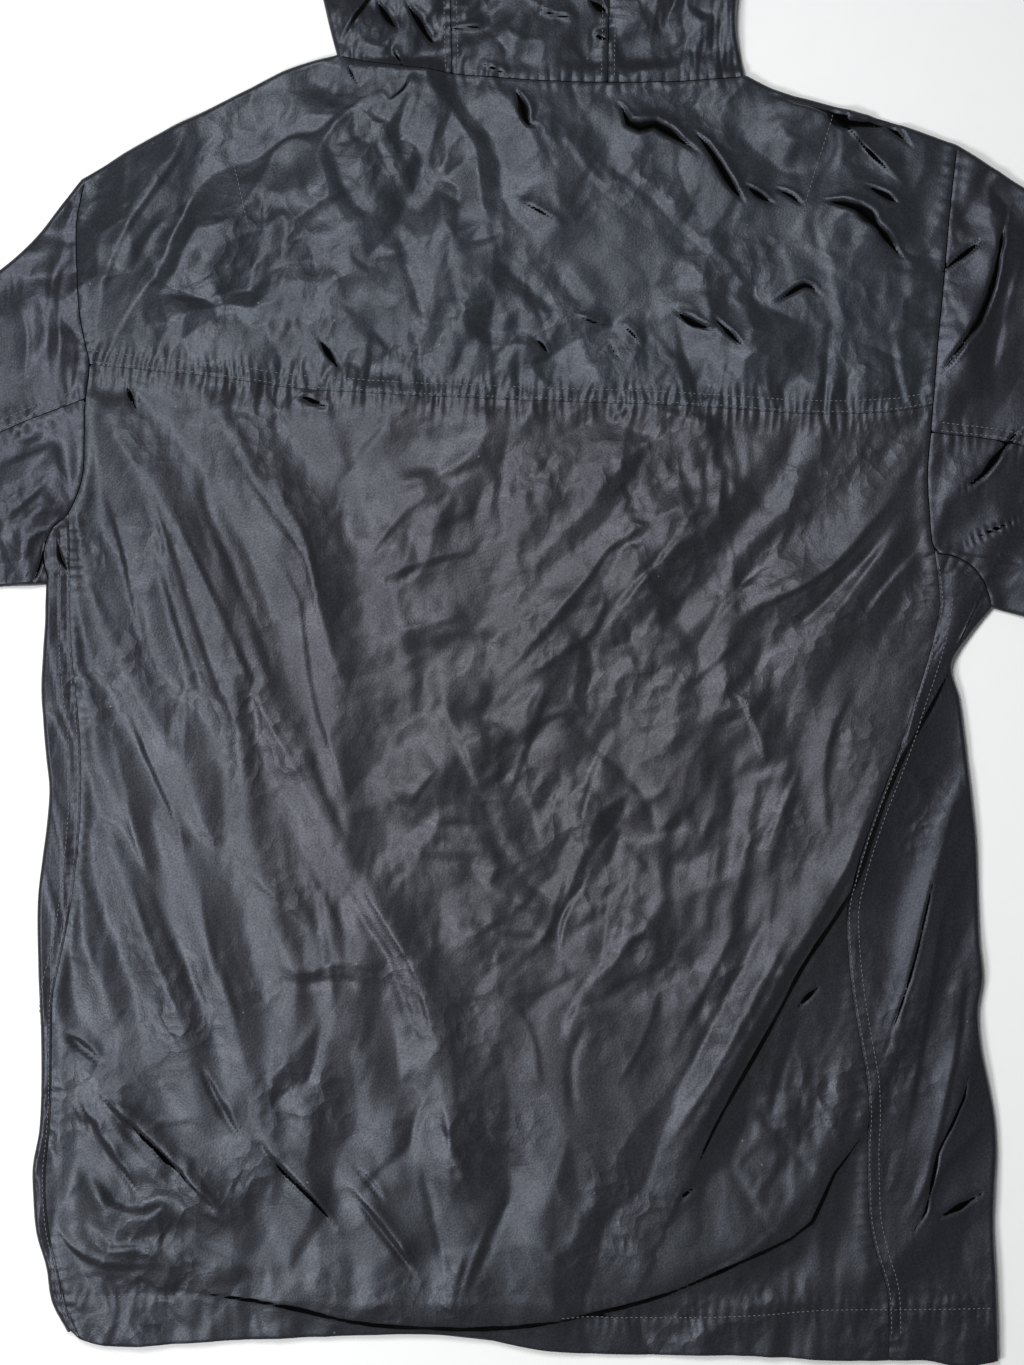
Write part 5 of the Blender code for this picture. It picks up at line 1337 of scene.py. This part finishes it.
def nylon_shine(tree, place, tint, middle, shaded):
    """The sheen's colour: tinted warmer in the middle of the back as painted warm light, and darkened
    in the slits and seams as painted shade.
    """
    shine = tint
    if middle:
        # painted warm light: the sheen turns warmer near the middle of the back
        away = vectors(tree, "DISTANCE", place, PAINTED_WARM_MIDDLE).outputs["Value"]
        share = ranged(tree, away, *PAINTED_WARM_REACH, interpolation_type="SMOOTHSTEP")
        shine = mixed(tree, share, tint, middle)
    return vectors(tree, "MULTIPLY", shine, shaded).outputs[0]


def nylon_colour(tree, place, colour, warm, shaded):
    """Faint cloudiness, with specks of lint, darkened in the slits and seams as painted shade."""
    cloudy = noise_of(tree, place, CLOUD_SCALE, 4.0).outputs["Fac"]
    speck = node(tree, "ShaderNodeTexVoronoi", {"Vector": place, "Scale": LINT_SCALE})
    lint = ranged(tree, speck.outputs["Distance"], *LINT_TONE)
    grained = vectors(tree, "MULTIPLY", mixed(tree, cloudy, colour, warm), shaded).outputs[0]
    return vectors(tree, "ADD", grained, lint).outputs[0]


def nylon_roughness(tree, place, fold):
    gloss = noise_of(tree, place, GLOSS_SCALE, 3.0).outputs["Fac"]
    return maths(tree, "MULTIPLY_ADD", fold, SLIT_DULL, ranged(tree, gloss, *GLOSS_ROUGHNESS))


def nylon_bump(tree, place, grain):
    """Crumple in patches, at two sizes, and the weave over both."""
    drift = noise_of(tree, place, DRIFT_SCALE, 2.0).outputs["Color"]
    patches = noise_of(tree, place, PATCH_SCALE, 1.0).outputs["Fac"]
    shown = ranged(tree, patches, *PATCH_RANGE)
    warped, bent = (vectors(tree, "MULTIPLY_ADD", drift, (size, size, 0), place).outputs[0]
                    for size in (CRINKLE_WARP, CRUMPLE_WARP))
    crinkle = node(tree, "ShaderNodeTexVoronoi", {"Vector": warped, "Scale": CRINKLE_SCALE})
    slanted = node(tree, "ShaderNodeMapping", {"Vector": bent, "Rotation": (0, 0, CRUMPLE_TURN),
                                               "Scale": CRUMPLE_SCALES}).outputs[0]
    crumple = node(tree, "ShaderNodeTexVoronoi", {"Vector": slanted, "Scale": CRUMPLE_SCALE},
                   distance="MANHATTAN")
    faint, height = (maths(tree, "MULTIPLY", made.outputs["Distance"], shown)
                     for made in (crumple, crinkle))
    large = bumped(tree, faint, CRUMPLE_BUMP)
    small = bumped(tree, height, CRINKLE_BUMP, Normal=large)
    return bumped(tree, grain, WEAVE_BUMP, Strength=WEAVE_STRENGTH, Normal=small)


def nylon(name, colour, warm, tint, middle=None):
    """Thin satin nylon: close weave, faint cloudiness, lint, painted shade in the slits and seams,
    and a finer crumple than the mesh.
    """
    material, tree, shader = new_material(name, PLAIN_ROUGHNESS, sheen=NYLON_SHEEN, tint=tint)
    place = node(tree, "ShaderNodeTexCoord").outputs["Object"]
    grain = noise_of(tree, place, WEAVE_SCALE, 2.0).outputs["Fac"]
    slit = node(tree, "ShaderNodeAttribute", attribute_name="slit").outputs["Fac"]
    # fold runs from 0 to 1 into a slit or seam: there the colour and sheen darken as painted shade,
    # and the cloth turns dull
    fold = ranged(tree, slit, *SLIT_EDGE, interpolation_type="SMOOTHSTEP")
    shaded = maths(tree, "MULTIPLY", ranged(tree, grain, *WEAVE_TONE),
                   ranged(tree, fold, 0.0, 1.0, 1.0, SLIT_PAINTED_SHADE))
    tree.links.new(nylon_shine(tree, place, tint, middle, shaded), shader.inputs["Specular Tint"])
    tree.links.new(nylon_colour(tree, place, colour, warm, shaded), shader.inputs["Base Color"])
    tree.links.new(nylon_roughness(tree, place, fold), shader.inputs["Roughness"])
    tree.links.new(nylon_bump(tree, place, grain), shader.inputs["Normal"])
    return material


def plain_noise(name, colour, roughness, scale, mottle):
    """A procedural finish: one colour, mottled a little, with a fine bump."""
    material, tree, shader = new_material(name, roughness)
    place = node(tree, "ShaderNodeTexCoord").outputs["Object"]
    grain = noise_of(tree, place, scale, 4.0).outputs["Fac"]
    shade = ranged(tree, grain, 0.3, 0.7, 1 - mottle, 1 + mottle)
    tree.links.new(vectors(tree, "MULTIPLY", colour, shade).outputs[0], shader.inputs["Base Color"])
    tree.links.new(bumped(tree, grain, 0.0001, Strength=0.5), shader.inputs["Normal"])
    return material


# sheen tints; the warm one tints the middle of the back as painted warm light
COOL, WARM_LIGHT_PAINTED, VIOLET = (0.78, 0.85, 1.0), (0.88, 0.87, 1.0), (0.78, 0.83, 1.0)
PAINTED_WARM_MIDDLE = (0.03, -0.18, 0.0)          # where the back's sheen is tinted warmer than the rest, as painted warm light
PAINTED_WARM_REACH = (0.34, 0.05)                 # none of it at the first distance, all at the second
# one cloth in five materials: the fronts are a little darker, as painted shade for the right strip
# that lies in shade, and the yoke is bluer than the back, as painted cool light
NYLON = {
    "back": nylon("nylon_back", (0.0118, 0.0125, 0.0155), (0.0135, 0.014, 0.0165), COOL, WARM_LIGHT_PAINTED),
    "yoke": nylon("nylon_yoke", (0.012, 0.014, 0.018), (0.015, 0.0165, 0.020), COOL),
    "front": nylon("nylon_front", (0.010, 0.0102, 0.013), (0.012, 0.012, 0.015), VIOLET),
    "sleeve": nylon("nylon_sleeve", (0.011, 0.0118, 0.0155), (0.013, 0.0135, 0.017), VIOLET),
    "hood": nylon("nylon_hood", (0.010, 0.0115, 0.015), (0.012, 0.013, 0.016), COOL),
}
THREAD = plain_noise("thread", (0.13, 0.135, 0.15), 0.6, 2500.0, 0.2)
TAPE = plain_noise("zip_tape", (0.012, 0.012, 0.014), 0.75, 1800.0, 0.25)
COIL = plain_noise("zip_coil", (0.020, 0.020, 0.022), 0.4, 900.0, 0.15)
METAL = plain_noise("zip_metal", (0.035, 0.035, 0.038), 0.32, 700.0, 0.12)


# ---- pieces ------------------------------------------------------------------------------------
UP = (0.0, 1.0)
UPWARD = np.array((0.0, 0.0, 1.0))
NEAR_ROWS = 4             # rows of a sleeve's grid that are filled most closely, next to the body
FAR_STEP = 4              # the rest of its rows keep every fourth point
# parts that are kept of each stretch of the panels' grids
BACK_FINE, YOKE_FINE, ROW_FINE, CLOSE_FINE, FRONT_FINE = 8, 13, 10, 20, 5


def dress(piece, slot, flat, area, rests_on, replaced):
    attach(piece, "jacket")
    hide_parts(replaced)


def back_body():
    top = pick(moved(dense(even(YOKE_LINE, BACK_COLUMNS)), -GAP, 1), BACK_FINE)
    sides = []
    for side in SIDES:
        s = side["sign"]
        arm = moved(side["back_arm"], -GAP, s)
        arm = arm[ARMHOLE_ROWS[0] * FINE:sum(ARMHOLE_ROWS[:3]) * FINE + 1]
        seam = moved(side["seam"], GAP, -s)
        sides.append(pick(np.vstack([arm[:-1], seam]), ROW_FINE))
    hem = even([LEFT["side_seam"][-1], *HEM, RIGHT["side_seam"][-1]], BACK_COLUMNS)
    low, high = sides
    hem = closed_ends(pick(dense(hem), BACK_FINE), low[-1], high[-1])
    shell = Shell()
    shell.layer(True, closed_ends(top, low[0], high[0]), hem, low, high)
    shell.hem(True, hem, UP)
    return shell.build("cloth_back_body", NYLON["back"])


def back_yoke():
    shell = Shell()
    sides, shoulders = [], []
    for side in SIDES:
        arm = moved(side["back_arm"], -GAP, side["sign"])[:ARMHOLE_ROWS[0] * FINE + 1]
        edge = pick(side["in"]["shoulder"], YOKE_FINE)
        shoulders.append(edge)
        sides.append(closed_ends(pick(arm, CLOSE_FINE)[::-1], last=edge[-1]))
        shell.turn(edge, pick(side["out"]["shoulder"], YOKE_FINE))
    neck = closed_ends(pick(moved(NECK_LINE, -GAP, 1), YOKE_FINE), shoulders[0][0], shoulders[1][0])
    top = joined(shoulders[0][::-1], neck, shoulders[1])
    count = 2 * SHOULDER_COLUMNS + sum(NECK_COLUMNS)
    seam = pick(moved(dense(even(YOKE_LINE, count)), GAP, 1), YOKE_FINE)
    low, high = sides
    shell.layer(True, closed_ends(seam, low[0], high[0]), top, low, high)
    return shell.build("cloth_back_yoke", NYLON["yoke"])


def front(side, name):
    """Lower layer from the zip outwards, the turned side edge and the strip up to the side seam."""
    s = side["sign"]
    shell = Shell()
    edge = pick(side["in"]["edge"], ROW_FINE)
    shell.turn(edge, pick(side["out"]["edge"], ROW_FINE))
    arm = pick(moved(side["front_arm"], -GAP, s), ROW_FINE)
    shoulder = pick(side["in"]["shoulder"], FRONT_FINE)
    arm = closed_ends(arm, shoulder[-1], edge[0])
    outer = joined(edge[::-1], arm[::-1])
    neck = pick(moved(side["front_neck_line"], -GAP, -s), FRONT_FINE)
    neck = closed_ends(neck, shoulder[0])
    top = joined(neck[::-1], shoulder)
    inner = closed_ends(pick(side["zip_edge"], ROW_FINE), last=top[0])
    hem = even([inner[0], *side["front_hem"][::-1], edge[-1]],
               FRONT_NECK_COLUMNS + SHOULDER_COLUMNS)
    hem = closed_ends(pick(dense(hem), FRONT_FINE), inner[0], edge[-1])
    shell.layer(False, hem, top, inner, outer)
    shell.hem(False, hem, UP)
    shell.hem(False, inner, (s, 0.0))
    side_strip(shell, side, edge)
    return shell.build(name, NYLON["front"])


def side_strip(shell, side, edge):
    """The front on the upper layer, from the turned edge below the underarm to the side seam."""
    s = side["sign"]
    seam = moved(side["seam"], GAP, s)
    level = ARMHOLE_ROWS[3]
    first = straight(edge[0], seam[level * FINE], STRIP_COLUMNS * CLOSE_FINE)
    foot = dense(even([edge[-1], *side["strip_hem"][::-1], seam[-1]], STRIP_COLUMNS))
    foot = closed_ends(pick(foot, CLOSE_FINE), edge[-1], seam[-1])
    shell.layer(True, first, foot, edge, pick(seam[level * FINE:], ROW_FINE))
    shell.hem(True, foot, UP)
    # its point, which runs up between armhole and side seam
    count = level * ROW_FINE + 1
    arm = pick(moved(side["back_arm"], -GAP, s), ROW_FINE)[::-1][:count]
    rim = pick(seam, ROW_FINE)[:count][::-1]
    rows = [straight(a, b, STRIP_COLUMNS * CLOSE_FINE) for a, b in zip(arm, rim)]
    rows[0] = first
    xy = np.array(rows)
    z, shade = upper(xy, True)
    shell.grid(np.dstack([xy, z]), UPWARD, shade)


def sleeve(side, half):
    s = side["sign"]
    outer_half = half == "top"
    rows = np.r_[:NEAR_ROWS * FINE, NEAR_ROWS * FINE:SLEEVE_ROWS * FINE + 1:FAR_STEP]
    edge = side["in"][f"sleeve_{half}"][rows]
    shell = Shell()
    shell.turn(edge, side["out"][f"sleeve_{half}"][rows])
    for on_top, arm, mark in ((True, "back_arm", SLEEVE_MARK),
                              (False, "front_arm", FRONT_ARMHOLE_ROWS[0])):
        seam = sleeve_seam(side, arm, mark, on_top)
        seam = moved(seam, -GAP if outer_half else GAP, -s)[rows]
        chain = moved(side[arm], GAP, s)
        chain = chain[:mark * FINE + 1] if outer_half else chain[mark * FINE:]
        chain = pick(chain, ROW_FINE)
        if outer_half:
            chain = closed_ends(chain, first=edge[0])
            seam = closed_ends(seam, chain[-1])
            low, high = edge, seam
        else:
            chain = closed_ends(chain, last=edge[0])
            seam = closed_ends(seam, chain[0])
            low, high = seam, edge
        cuff = straight(low[-1], high[-1], len(chain) - 1)
        shell.layer(on_top, chain, cuff, low, high)
        shell.hem(on_top, cuff, chain[0] - cuff[0])
    return shell


def hood_side(side, name):
    s = side["sign"]
    columns = NECK_COLUMNS[0] if s < 0 else NECK_COLUMNS[2]
    count = HOOD_ROWS + columns
    neck = moved(NECK_LINE, GAP, 1)
    neck = neck if s < 0 else neck[::-1]
    neck = pick(neck[:columns * FINE + 1], CLOSE_FINE)
    edge = pick(side["in"]["hood"][:count * FINE + 1], CLOSE_FINE)
    away = np.array((s * GAP, 0.0))
    neck = closed_ends(neck, first=edge[0])
    shell = Shell()
    shell.turn(edge, pick(side["out"]["hood"][:count * FINE + 1], CLOSE_FINE))
    seam = dense(even([side["hood_seam_neck"], *side["hood_seam"], edge[-1]], HOOD_ROWS)) + away
    seam = closed_ends(pick(seam, CLOSE_FINE), neck[-1], edge[-1])
    corner = HOOD_ROWS * CLOSE_FINE
    shell.layer(True, neck, edge[corner:], edge[:corner + 1], seam)
    # under side: from the front neck seam and the chin up round the face opening
    front_neck = pick(moved(side["front_neck_line"], GAP, -s), FRONT_FINE)
    front_neck = closed_ends(front_neck, first=edge[0])
    chin = np.array((front_neck[-1][0], HOOD_CHIN_Y))
    brow = np.array(FOREHEAD[0 if s < 0 else 2]) + away
    face = dense(even([chin, *side["hood_opening"], brow], count - CHIN_ROWS))
    opening = joined(straight(front_neck[-1], chin, CHIN_ROWS * CLOSE_FINE), pick(face, CLOSE_FINE))
    front_edge = straight(edge[-1], brow, FRONT_NECK_COLUMNS * FRONT_FINE)
    shell.layer(False, front_neck, front_edge, edge, opening)
    shell.hem(False, opening, across(opening, -s))
    return shell.build(name, NYLON["hood"])


def hood_centre():
    columns = NECK_COLUMNS[1]
    start = (HOOD_ROWS + NECK_COLUMNS[0]) * FINE
    part = slice(start, start + columns * FINE + 1)
    crown = pick(LEFT["in"]["hood"][part], CLOSE_FINE)
    neck = moved(NECK_LINE, GAP, 1)
    first = NECK_COLUMNS[0] * FINE
    neck = pick(neck[first:first + columns * FINE + 1], CLOSE_FINE)
    shell = Shell()
    shell.turn(crown, pick(LEFT["out"]["hood"][part], CLOSE_FINE))
    seams = []
    for side, step, end in ((LEFT, GAP, 0), (RIGHT, -GAP, -1)):
        line = dense(even([side["hood_seam_neck"], *side["hood_seam"], crown[end]], HOOD_ROWS))
        seams.append(closed_ends(pick(line + (step, 0), CLOSE_FINE), neck[end], crown[end]))
    shell.layer(True, neck, crown, *seams)
    brow = pick(dense(even(FOREHEAD, columns)), CLOSE_FINE)
    shell.layer(False, crown, brow, *(straight(crown[end], brow[end], FOREHEAD_ROWS * ROW_FINE)
                                      for end in (0, -1)))
    shell.hem(False, brow, UP)
    return shell.build("cloth_hood_centre", NYLON["hood"])


# ---- stitches and zip --------------------------------------------------------------------------
STITCH_PITCH, STITCH_LENGTH, THREAD_WIDTH = 2.9, 1.9, 0.62
# sections of a stitch: share of its length, width and rise; corners of a section: share of the
# thread's width, and lift
SECTIONS = [(-0.5, 0.45, -0.20), (-0.3, 0.9, 0.28), (0.0, 1.0, 0.36), (0.3, 0.9, 0.28),
            (0.5, 0.45, -0.20)]
CORNERS = [(-0.5, 0.0), (-0.28, 0.22), (0.28, 0.22), (0.5, 0.0)]
AHEAD = 0.5               # how far apart the two places are that give a stitch its direction

# distances of the stitch rows from their seams
YOKE_STITCHES, SIDE_STITCHES, SLEEVE_STITCHES = (1.6, 7.8), (1.5, 7.0), (1.6, 6.4)
HOOD_STITCHES, CUFF_STITCHES = (3.8, -3.8), 24
SEAM_STEP = 8             # stitched seams keep every eighth point
CUFF_POINT = -60          # gives the way from the cuff back up the sleeve
# shares of a seam's length at which its rows begin and end
NEAR_ENDS, FAR_START, FAR_END = (0.02, 0.97), 0.06, {-1: 0.6, 1: 0.97}
SLEEVE_START, CUFF_ENDS, HOOD_ENDS = 0.01, (0.02, 0.98), (0.01, 0.97)
DARTS = ([(-181, 735), (-170, 705), (-161, 668)], [(188, 738), (172, 687), (161, 650)])
HEM_STITCHES = ([(-275, 32), (-247, 31), (-205, 31)],
                [(25, 19), (85, 18), (142, 20), (183, 23), (232, 23), (282, 24)])

TAPE_SEAT, TAPE_PAST, TAPE_ROWS = 0.32, 2, 246
TAPE_STEPS = (ZIP_TAPE_WIDTH / 2, 13.6, 9, 3, 0.2)        # from the middle of the zip
COIL_PITCH, COIL_REACH, COIL_BACK, COIL_SHORT = 1.6, 2.9, 0.35, 9
TOOTH = [(-0.55, 0.25), (-0.3, 0.0), (0.3, 0.0), (0.55, 0.25), (0.55, 0.9), (0.3, 1.15),
         (-0.3, 1.15), (-0.55, 0.9)]


def stitch_row(line, offset, first=0.0, last=1.0):
    """Centres and directions of the stitches beside a line, between two shares of its length."""
    curve = moved(np.array(line, float), offset, 1)
    along = lengths(curve)
    count = max(int(along[-1] * (last - first) / STITCH_PITCH), 1)
    want = along[-1] * (first + (last - first) * (np.arange(count) + 0.5) / count)
    centres, ahead = (np.column_stack([np.interp(at, along, axis) for axis in curve.T])
                      for at in (want, want + AHEAD))
    return centres, unit(ahead - centres + 1e-9)


def bar_faces(corners, rings):
    """Faces of a closed bar of so many rings, with so many corners each."""
    last = corners * (rings - 1)
    around_it = [(a + k, a + (k + 1) % corners, a + (k + 1) % corners + corners, a + k + corners)
                 for a in range(0, last, corners) for k in range(corners)]
    return around_it + [tuple(reversed(range(corners))), tuple(range(last, last + corners))]


def stitches(name, rows):
    """Thread that shows as a short arch at each stitch and dives into the cloth at its ends."""
    centres = np.vstack([row[0] for row in rows])
    runs = np.vstack([row[1] for row in rows])
    sides = np.column_stack([-runs[:, 1], runs[:, 0]])
    points = []
    for share, wide, rise in SECTIONS:
        at = centres + runs * STITCH_LENGTH * share
        z = upper(at) + rise
        for side_share, lift in CORNERS:
            xy = at + sides * THREAD_WIDTH * wide * side_share
            points.append(np.column_stack([xy, z + lift * wide]))
    points = np.stack(points, axis=1)
    count = points.shape[1]
    faces = [tuple(first + k for k in face) for first in range(0, len(points) * count, count)
             for face in bar_faces(len(CORNERS), len(SECTIONS))]
    piece = add_mesh(name, points.reshape(-1, 3), faces, THREAD)
    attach(piece, "jacket")


def yoke_rows():
    line = even(YOKE_LINE, 200)
    return [stitch_row(line, offset) for offset in YOKE_STITCHES]


def side_rows():
    rows = []
    for side in SIDES:
        seam, s = side["seam"][::SEAM_STEP], side["sign"]
        near, far = SIDE_STITCHES
        rows += [stitch_row(seam, near * s, *NEAR_ENDS),
                 stitch_row(seam, far * s, FAR_START, FAR_END[s])]
    return rows


def sleeve_rows():
    rows = []
    for side in SIDES:
        line = sleeve_seam(side, "back_arm", SLEEVE_MARK, True)[::SEAM_STEP]
        rows += [stitch_row(line, offset * side["sign"], SLEEVE_START) for offset in SLEEVE_STITCHES]
        top, under = (side["in"][f"sleeve_{part}"][-1] for part in ("top", "under"))
        inwards = unit(side["in"]["sleeve_top"][CUFF_POINT] - top) * CUFF_STITCHES
        rows.append(stitch_row(straight(top + inwards, under + inwards, 20), 0.0, *CUFF_ENDS))
    return rows


def hood_rows():
    lines = [fine([side["hood_seam_neck"], *side["hood_seam"], side["hood_seam_crown"]])
             for side in SIDES]
    return [stitch_row(line, offset, *HOOD_ENDS) for line in lines for offset in HOOD_STITCHES]


def plain_rows(lines):
    return [stitch_row(fine(line), 0.0) for line in lines]


def zip_tape():
    """Two woven tapes that meet under the coil."""
    y = np.linspace(ZIP_FOOT_Y, SLIDER_Y + TAPE_PAST, TAPE_ROWS)
    seat = CLOTH + TAPE_SEAT
    steps = np.array(TAPE_STEPS)
    x = ZIP_X + np.concatenate([-steps, steps[::-1]])
    shell = Shell()
    for lift, way in ((0, -1), (ZIP_TAPE, 1)):
        rows = [np.column_stack([x, np.full(len(x), v), np.full(len(x), seat + lift + zip_rise(v))])
                for v in y]
        shell.grid(np.array(rows), UPWARD * way)
    for edge, way in ((x[0], -1.0), (x[-1], 1.0)):
        rim = [np.column_stack([np.full(len(y), edge), y, seat + lift + zip_rise(y)])
               for lift in (0, ZIP_TAPE)]
        shell.grid(np.array(rim), np.array((way, 0.0, 0.0)))
    return shell.build("zip_tapes", TAPE)


def zip_coil():
    """The coil's teeth: short rounded bars that interlock along the centre line."""
    points, faces = [], []
    for tooth in range(int((SLIDER_Y - COIL_SHORT - ZIP_FOOT_Y) / COIL_PITCH)):
        y = ZIP_FOOT_Y + 1 + tooth * COIL_PITCH
        side = 1 if tooth % 2 else -1
        foot = CHAIN_FOOT + float(zip_rise(np.array(y)))
        base = len(points)
        points += [(ZIP_X + side * x, y + dy, foot + dz)
                   for x in (-COIL_BACK * COIL_REACH, COIL_REACH) for dy, dz in TOOTH]
        faces += [tuple(base + k for k in face[::-side]) for face in bar_faces(len(TOOTH), 2)]
    return add_mesh("zip_teeth", points, faces, COIL)


# ---- assembly ----------------------------------------------------------------------------------
# flat sizes: width, length and area of each cut piece, in metres and square metres
CUTS = {
    "back_body": (0.58, 0.62, 0.300),
    "back_yoke": (0.55, 0.24, 0.100),
    "front_left": (0.34, 0.80, 0.220),
    "front_right": (0.38, 0.80, 0.225),
    "sleeve_top": (0.26, 0.62, 0.112),
    "sleeve_under": (0.24, 0.50, 0.086),
    "hood_side": (0.22, 0.46, 0.070),
    "hood_centre": (0.12, 0.42, 0.043),
}


def cut(name):
    width, length, area = CUTS[name]
    return (width, length), area


dress(back_body(), "nylon_back", *cut("back_body"), ["front_left", "front_right"], "back_body")
dress(back_yoke(), "nylon_yoke", *cut("back_yoke"), ["front_left", "front_right"], "back_yoke")
for side, half in ((LEFT, "left"), (RIGHT, "right")):
    dress(front(side, f"cloth_front_{half}"), "nylon_front", *cut(f"front_{half}"), ["floor"],
          f"front_{half}")
    for part in ("top", "under"):
        made = sleeve(side, part).build(f"cloth_sleeve_{part}_{half}", NYLON["sleeve"])
        dress(made, "nylon_sleeve", *cut(f"sleeve_{part}"), ["floor"], f"sleeve_{part}_{half}")
    dress(hood_side(side, f"cloth_hood_{half}"), "nylon_hood", *cut("hood_side"), ["floor"],
          f"hood_{half}")
dress(hood_centre(), "nylon_hood", *cut("hood_centre"), ["floor"], "hood_centre")

stitches("stitches_yoke", yoke_rows())
stitches("stitches_darts", plain_rows(DARTS))
stitches("stitches_sides", side_rows())
stitches("stitches_sleeves", sleeve_rows())
stitches("stitches_hem", plain_rows(HEM_STITCHES))
stitches("stitches_hood", hood_rows())

tapes = zip_tape()
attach(tapes, "jacket")
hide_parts("zip_chain")
teeth = zip_coil()
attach(teeth, "jacket")
for name in ("zip_slider", "zip_pull"):
    solid = bpy.data.objects[name]
    solid.data.materials.clear()
    solid.data.materials.append(METAL)


# ---- floor, light and camera -------------------------------------------------------------------
CENTRE = Vector((-0.0027, -0.15235, 0.0))      # middle of the view on the table
VIEW_HEIGHT = 0.819                            # length of table that the view's long side spans
CAMERA_DISTANCE = 1.5
SENSOR = 36.0
FLOOR_HALF, FLOOR_Z = 6.0, -0.0004
# place from the middle of the view, size, power and colour
LAMPS = {
    "key": ((-0.78, -0.42, 1.3), 0.46, 13.2, (1.0, 1.0, 1.0)),
    "second": ((-0.31, 0.50, 1.5), 0.50, 13.2, (0.99, 1.0, 1.0)),
    "fill": ((-0.9, 0.1, 2.3), 1.8, 10, (1.0, 1.0, 1.0)),
}
SURROUND, SURROUND_STRENGTH = (0.95, 0.97, 1.0, 1), 0.13


def floor():
    material, tree, shader = new_material("floor", 0.9, specular=0.2)
    place = node(tree, "ShaderNodeTexCoord").outputs["Object"]
    grain = noise_of(tree, place, 60.0, 2.0).outputs["Fac"]
    tree.links.new(ranged(tree, grain, 0.0, 1.0, 0.88, 0.90), shader.inputs["Base Color"])
    corners = [(FLOOR_HALF * x, FLOOR_HALF * y, FLOOR_Z)
               for x, y in ((-1, -1), (1, -1), (1, 1), (-1, 1))]
    data = bpy.data.meshes.new("floor")
    data.from_pydata(corners, [], [(0, 1, 2, 3)])
    data.materials.append(material)
    piece = bpy.data.objects.new("floor", data)
    bpy.context.scene.collection.objects.link(piece)


def area_light(name, place, size, power, colour):
    lamp = bpy.data.lights.new(name, "AREA")
    lamp.shape = "DISK"
    lamp.size = size
    lamp.energy = power
    lamp.color = colour
    light = bpy.data.objects.new(name, lamp)
    light.location = CENTRE + Vector(place)
    light.rotation_euler = (-Vector(place)).to_track_quat("-Z", "Y").to_euler()
    bpy.context.scene.collection.objects.link(light)


def studio():
    for name, lamp in LAMPS.items():
        area_light(name, *lamp)
    world = bpy.data.worlds.new("studio")
    world.use_nodes = True
    background = world.node_tree.nodes["Background"]
    background.inputs["Color"].default_value = SURROUND
    background.inputs["Strength"].default_value = SURROUND_STRENGTH
    bpy.context.scene.world = world
    bpy.context.scene.view_settings.view_transform = "Standard"


def camera():
    data = bpy.data.cameras.new("camera")
    data.sensor_width = SENSOR
    data.lens = data.sensor_width * CAMERA_DISTANCE / VIEW_HEIGHT
    eye = bpy.data.objects.new("camera", data)
    eye.location = CENTRE + Vector((0, 0, CAMERA_DISTANCE))
    bpy.context.scene.collection.objects.link(eye)
    bpy.context.scene.camera = eye


floor()
studio()
camera()
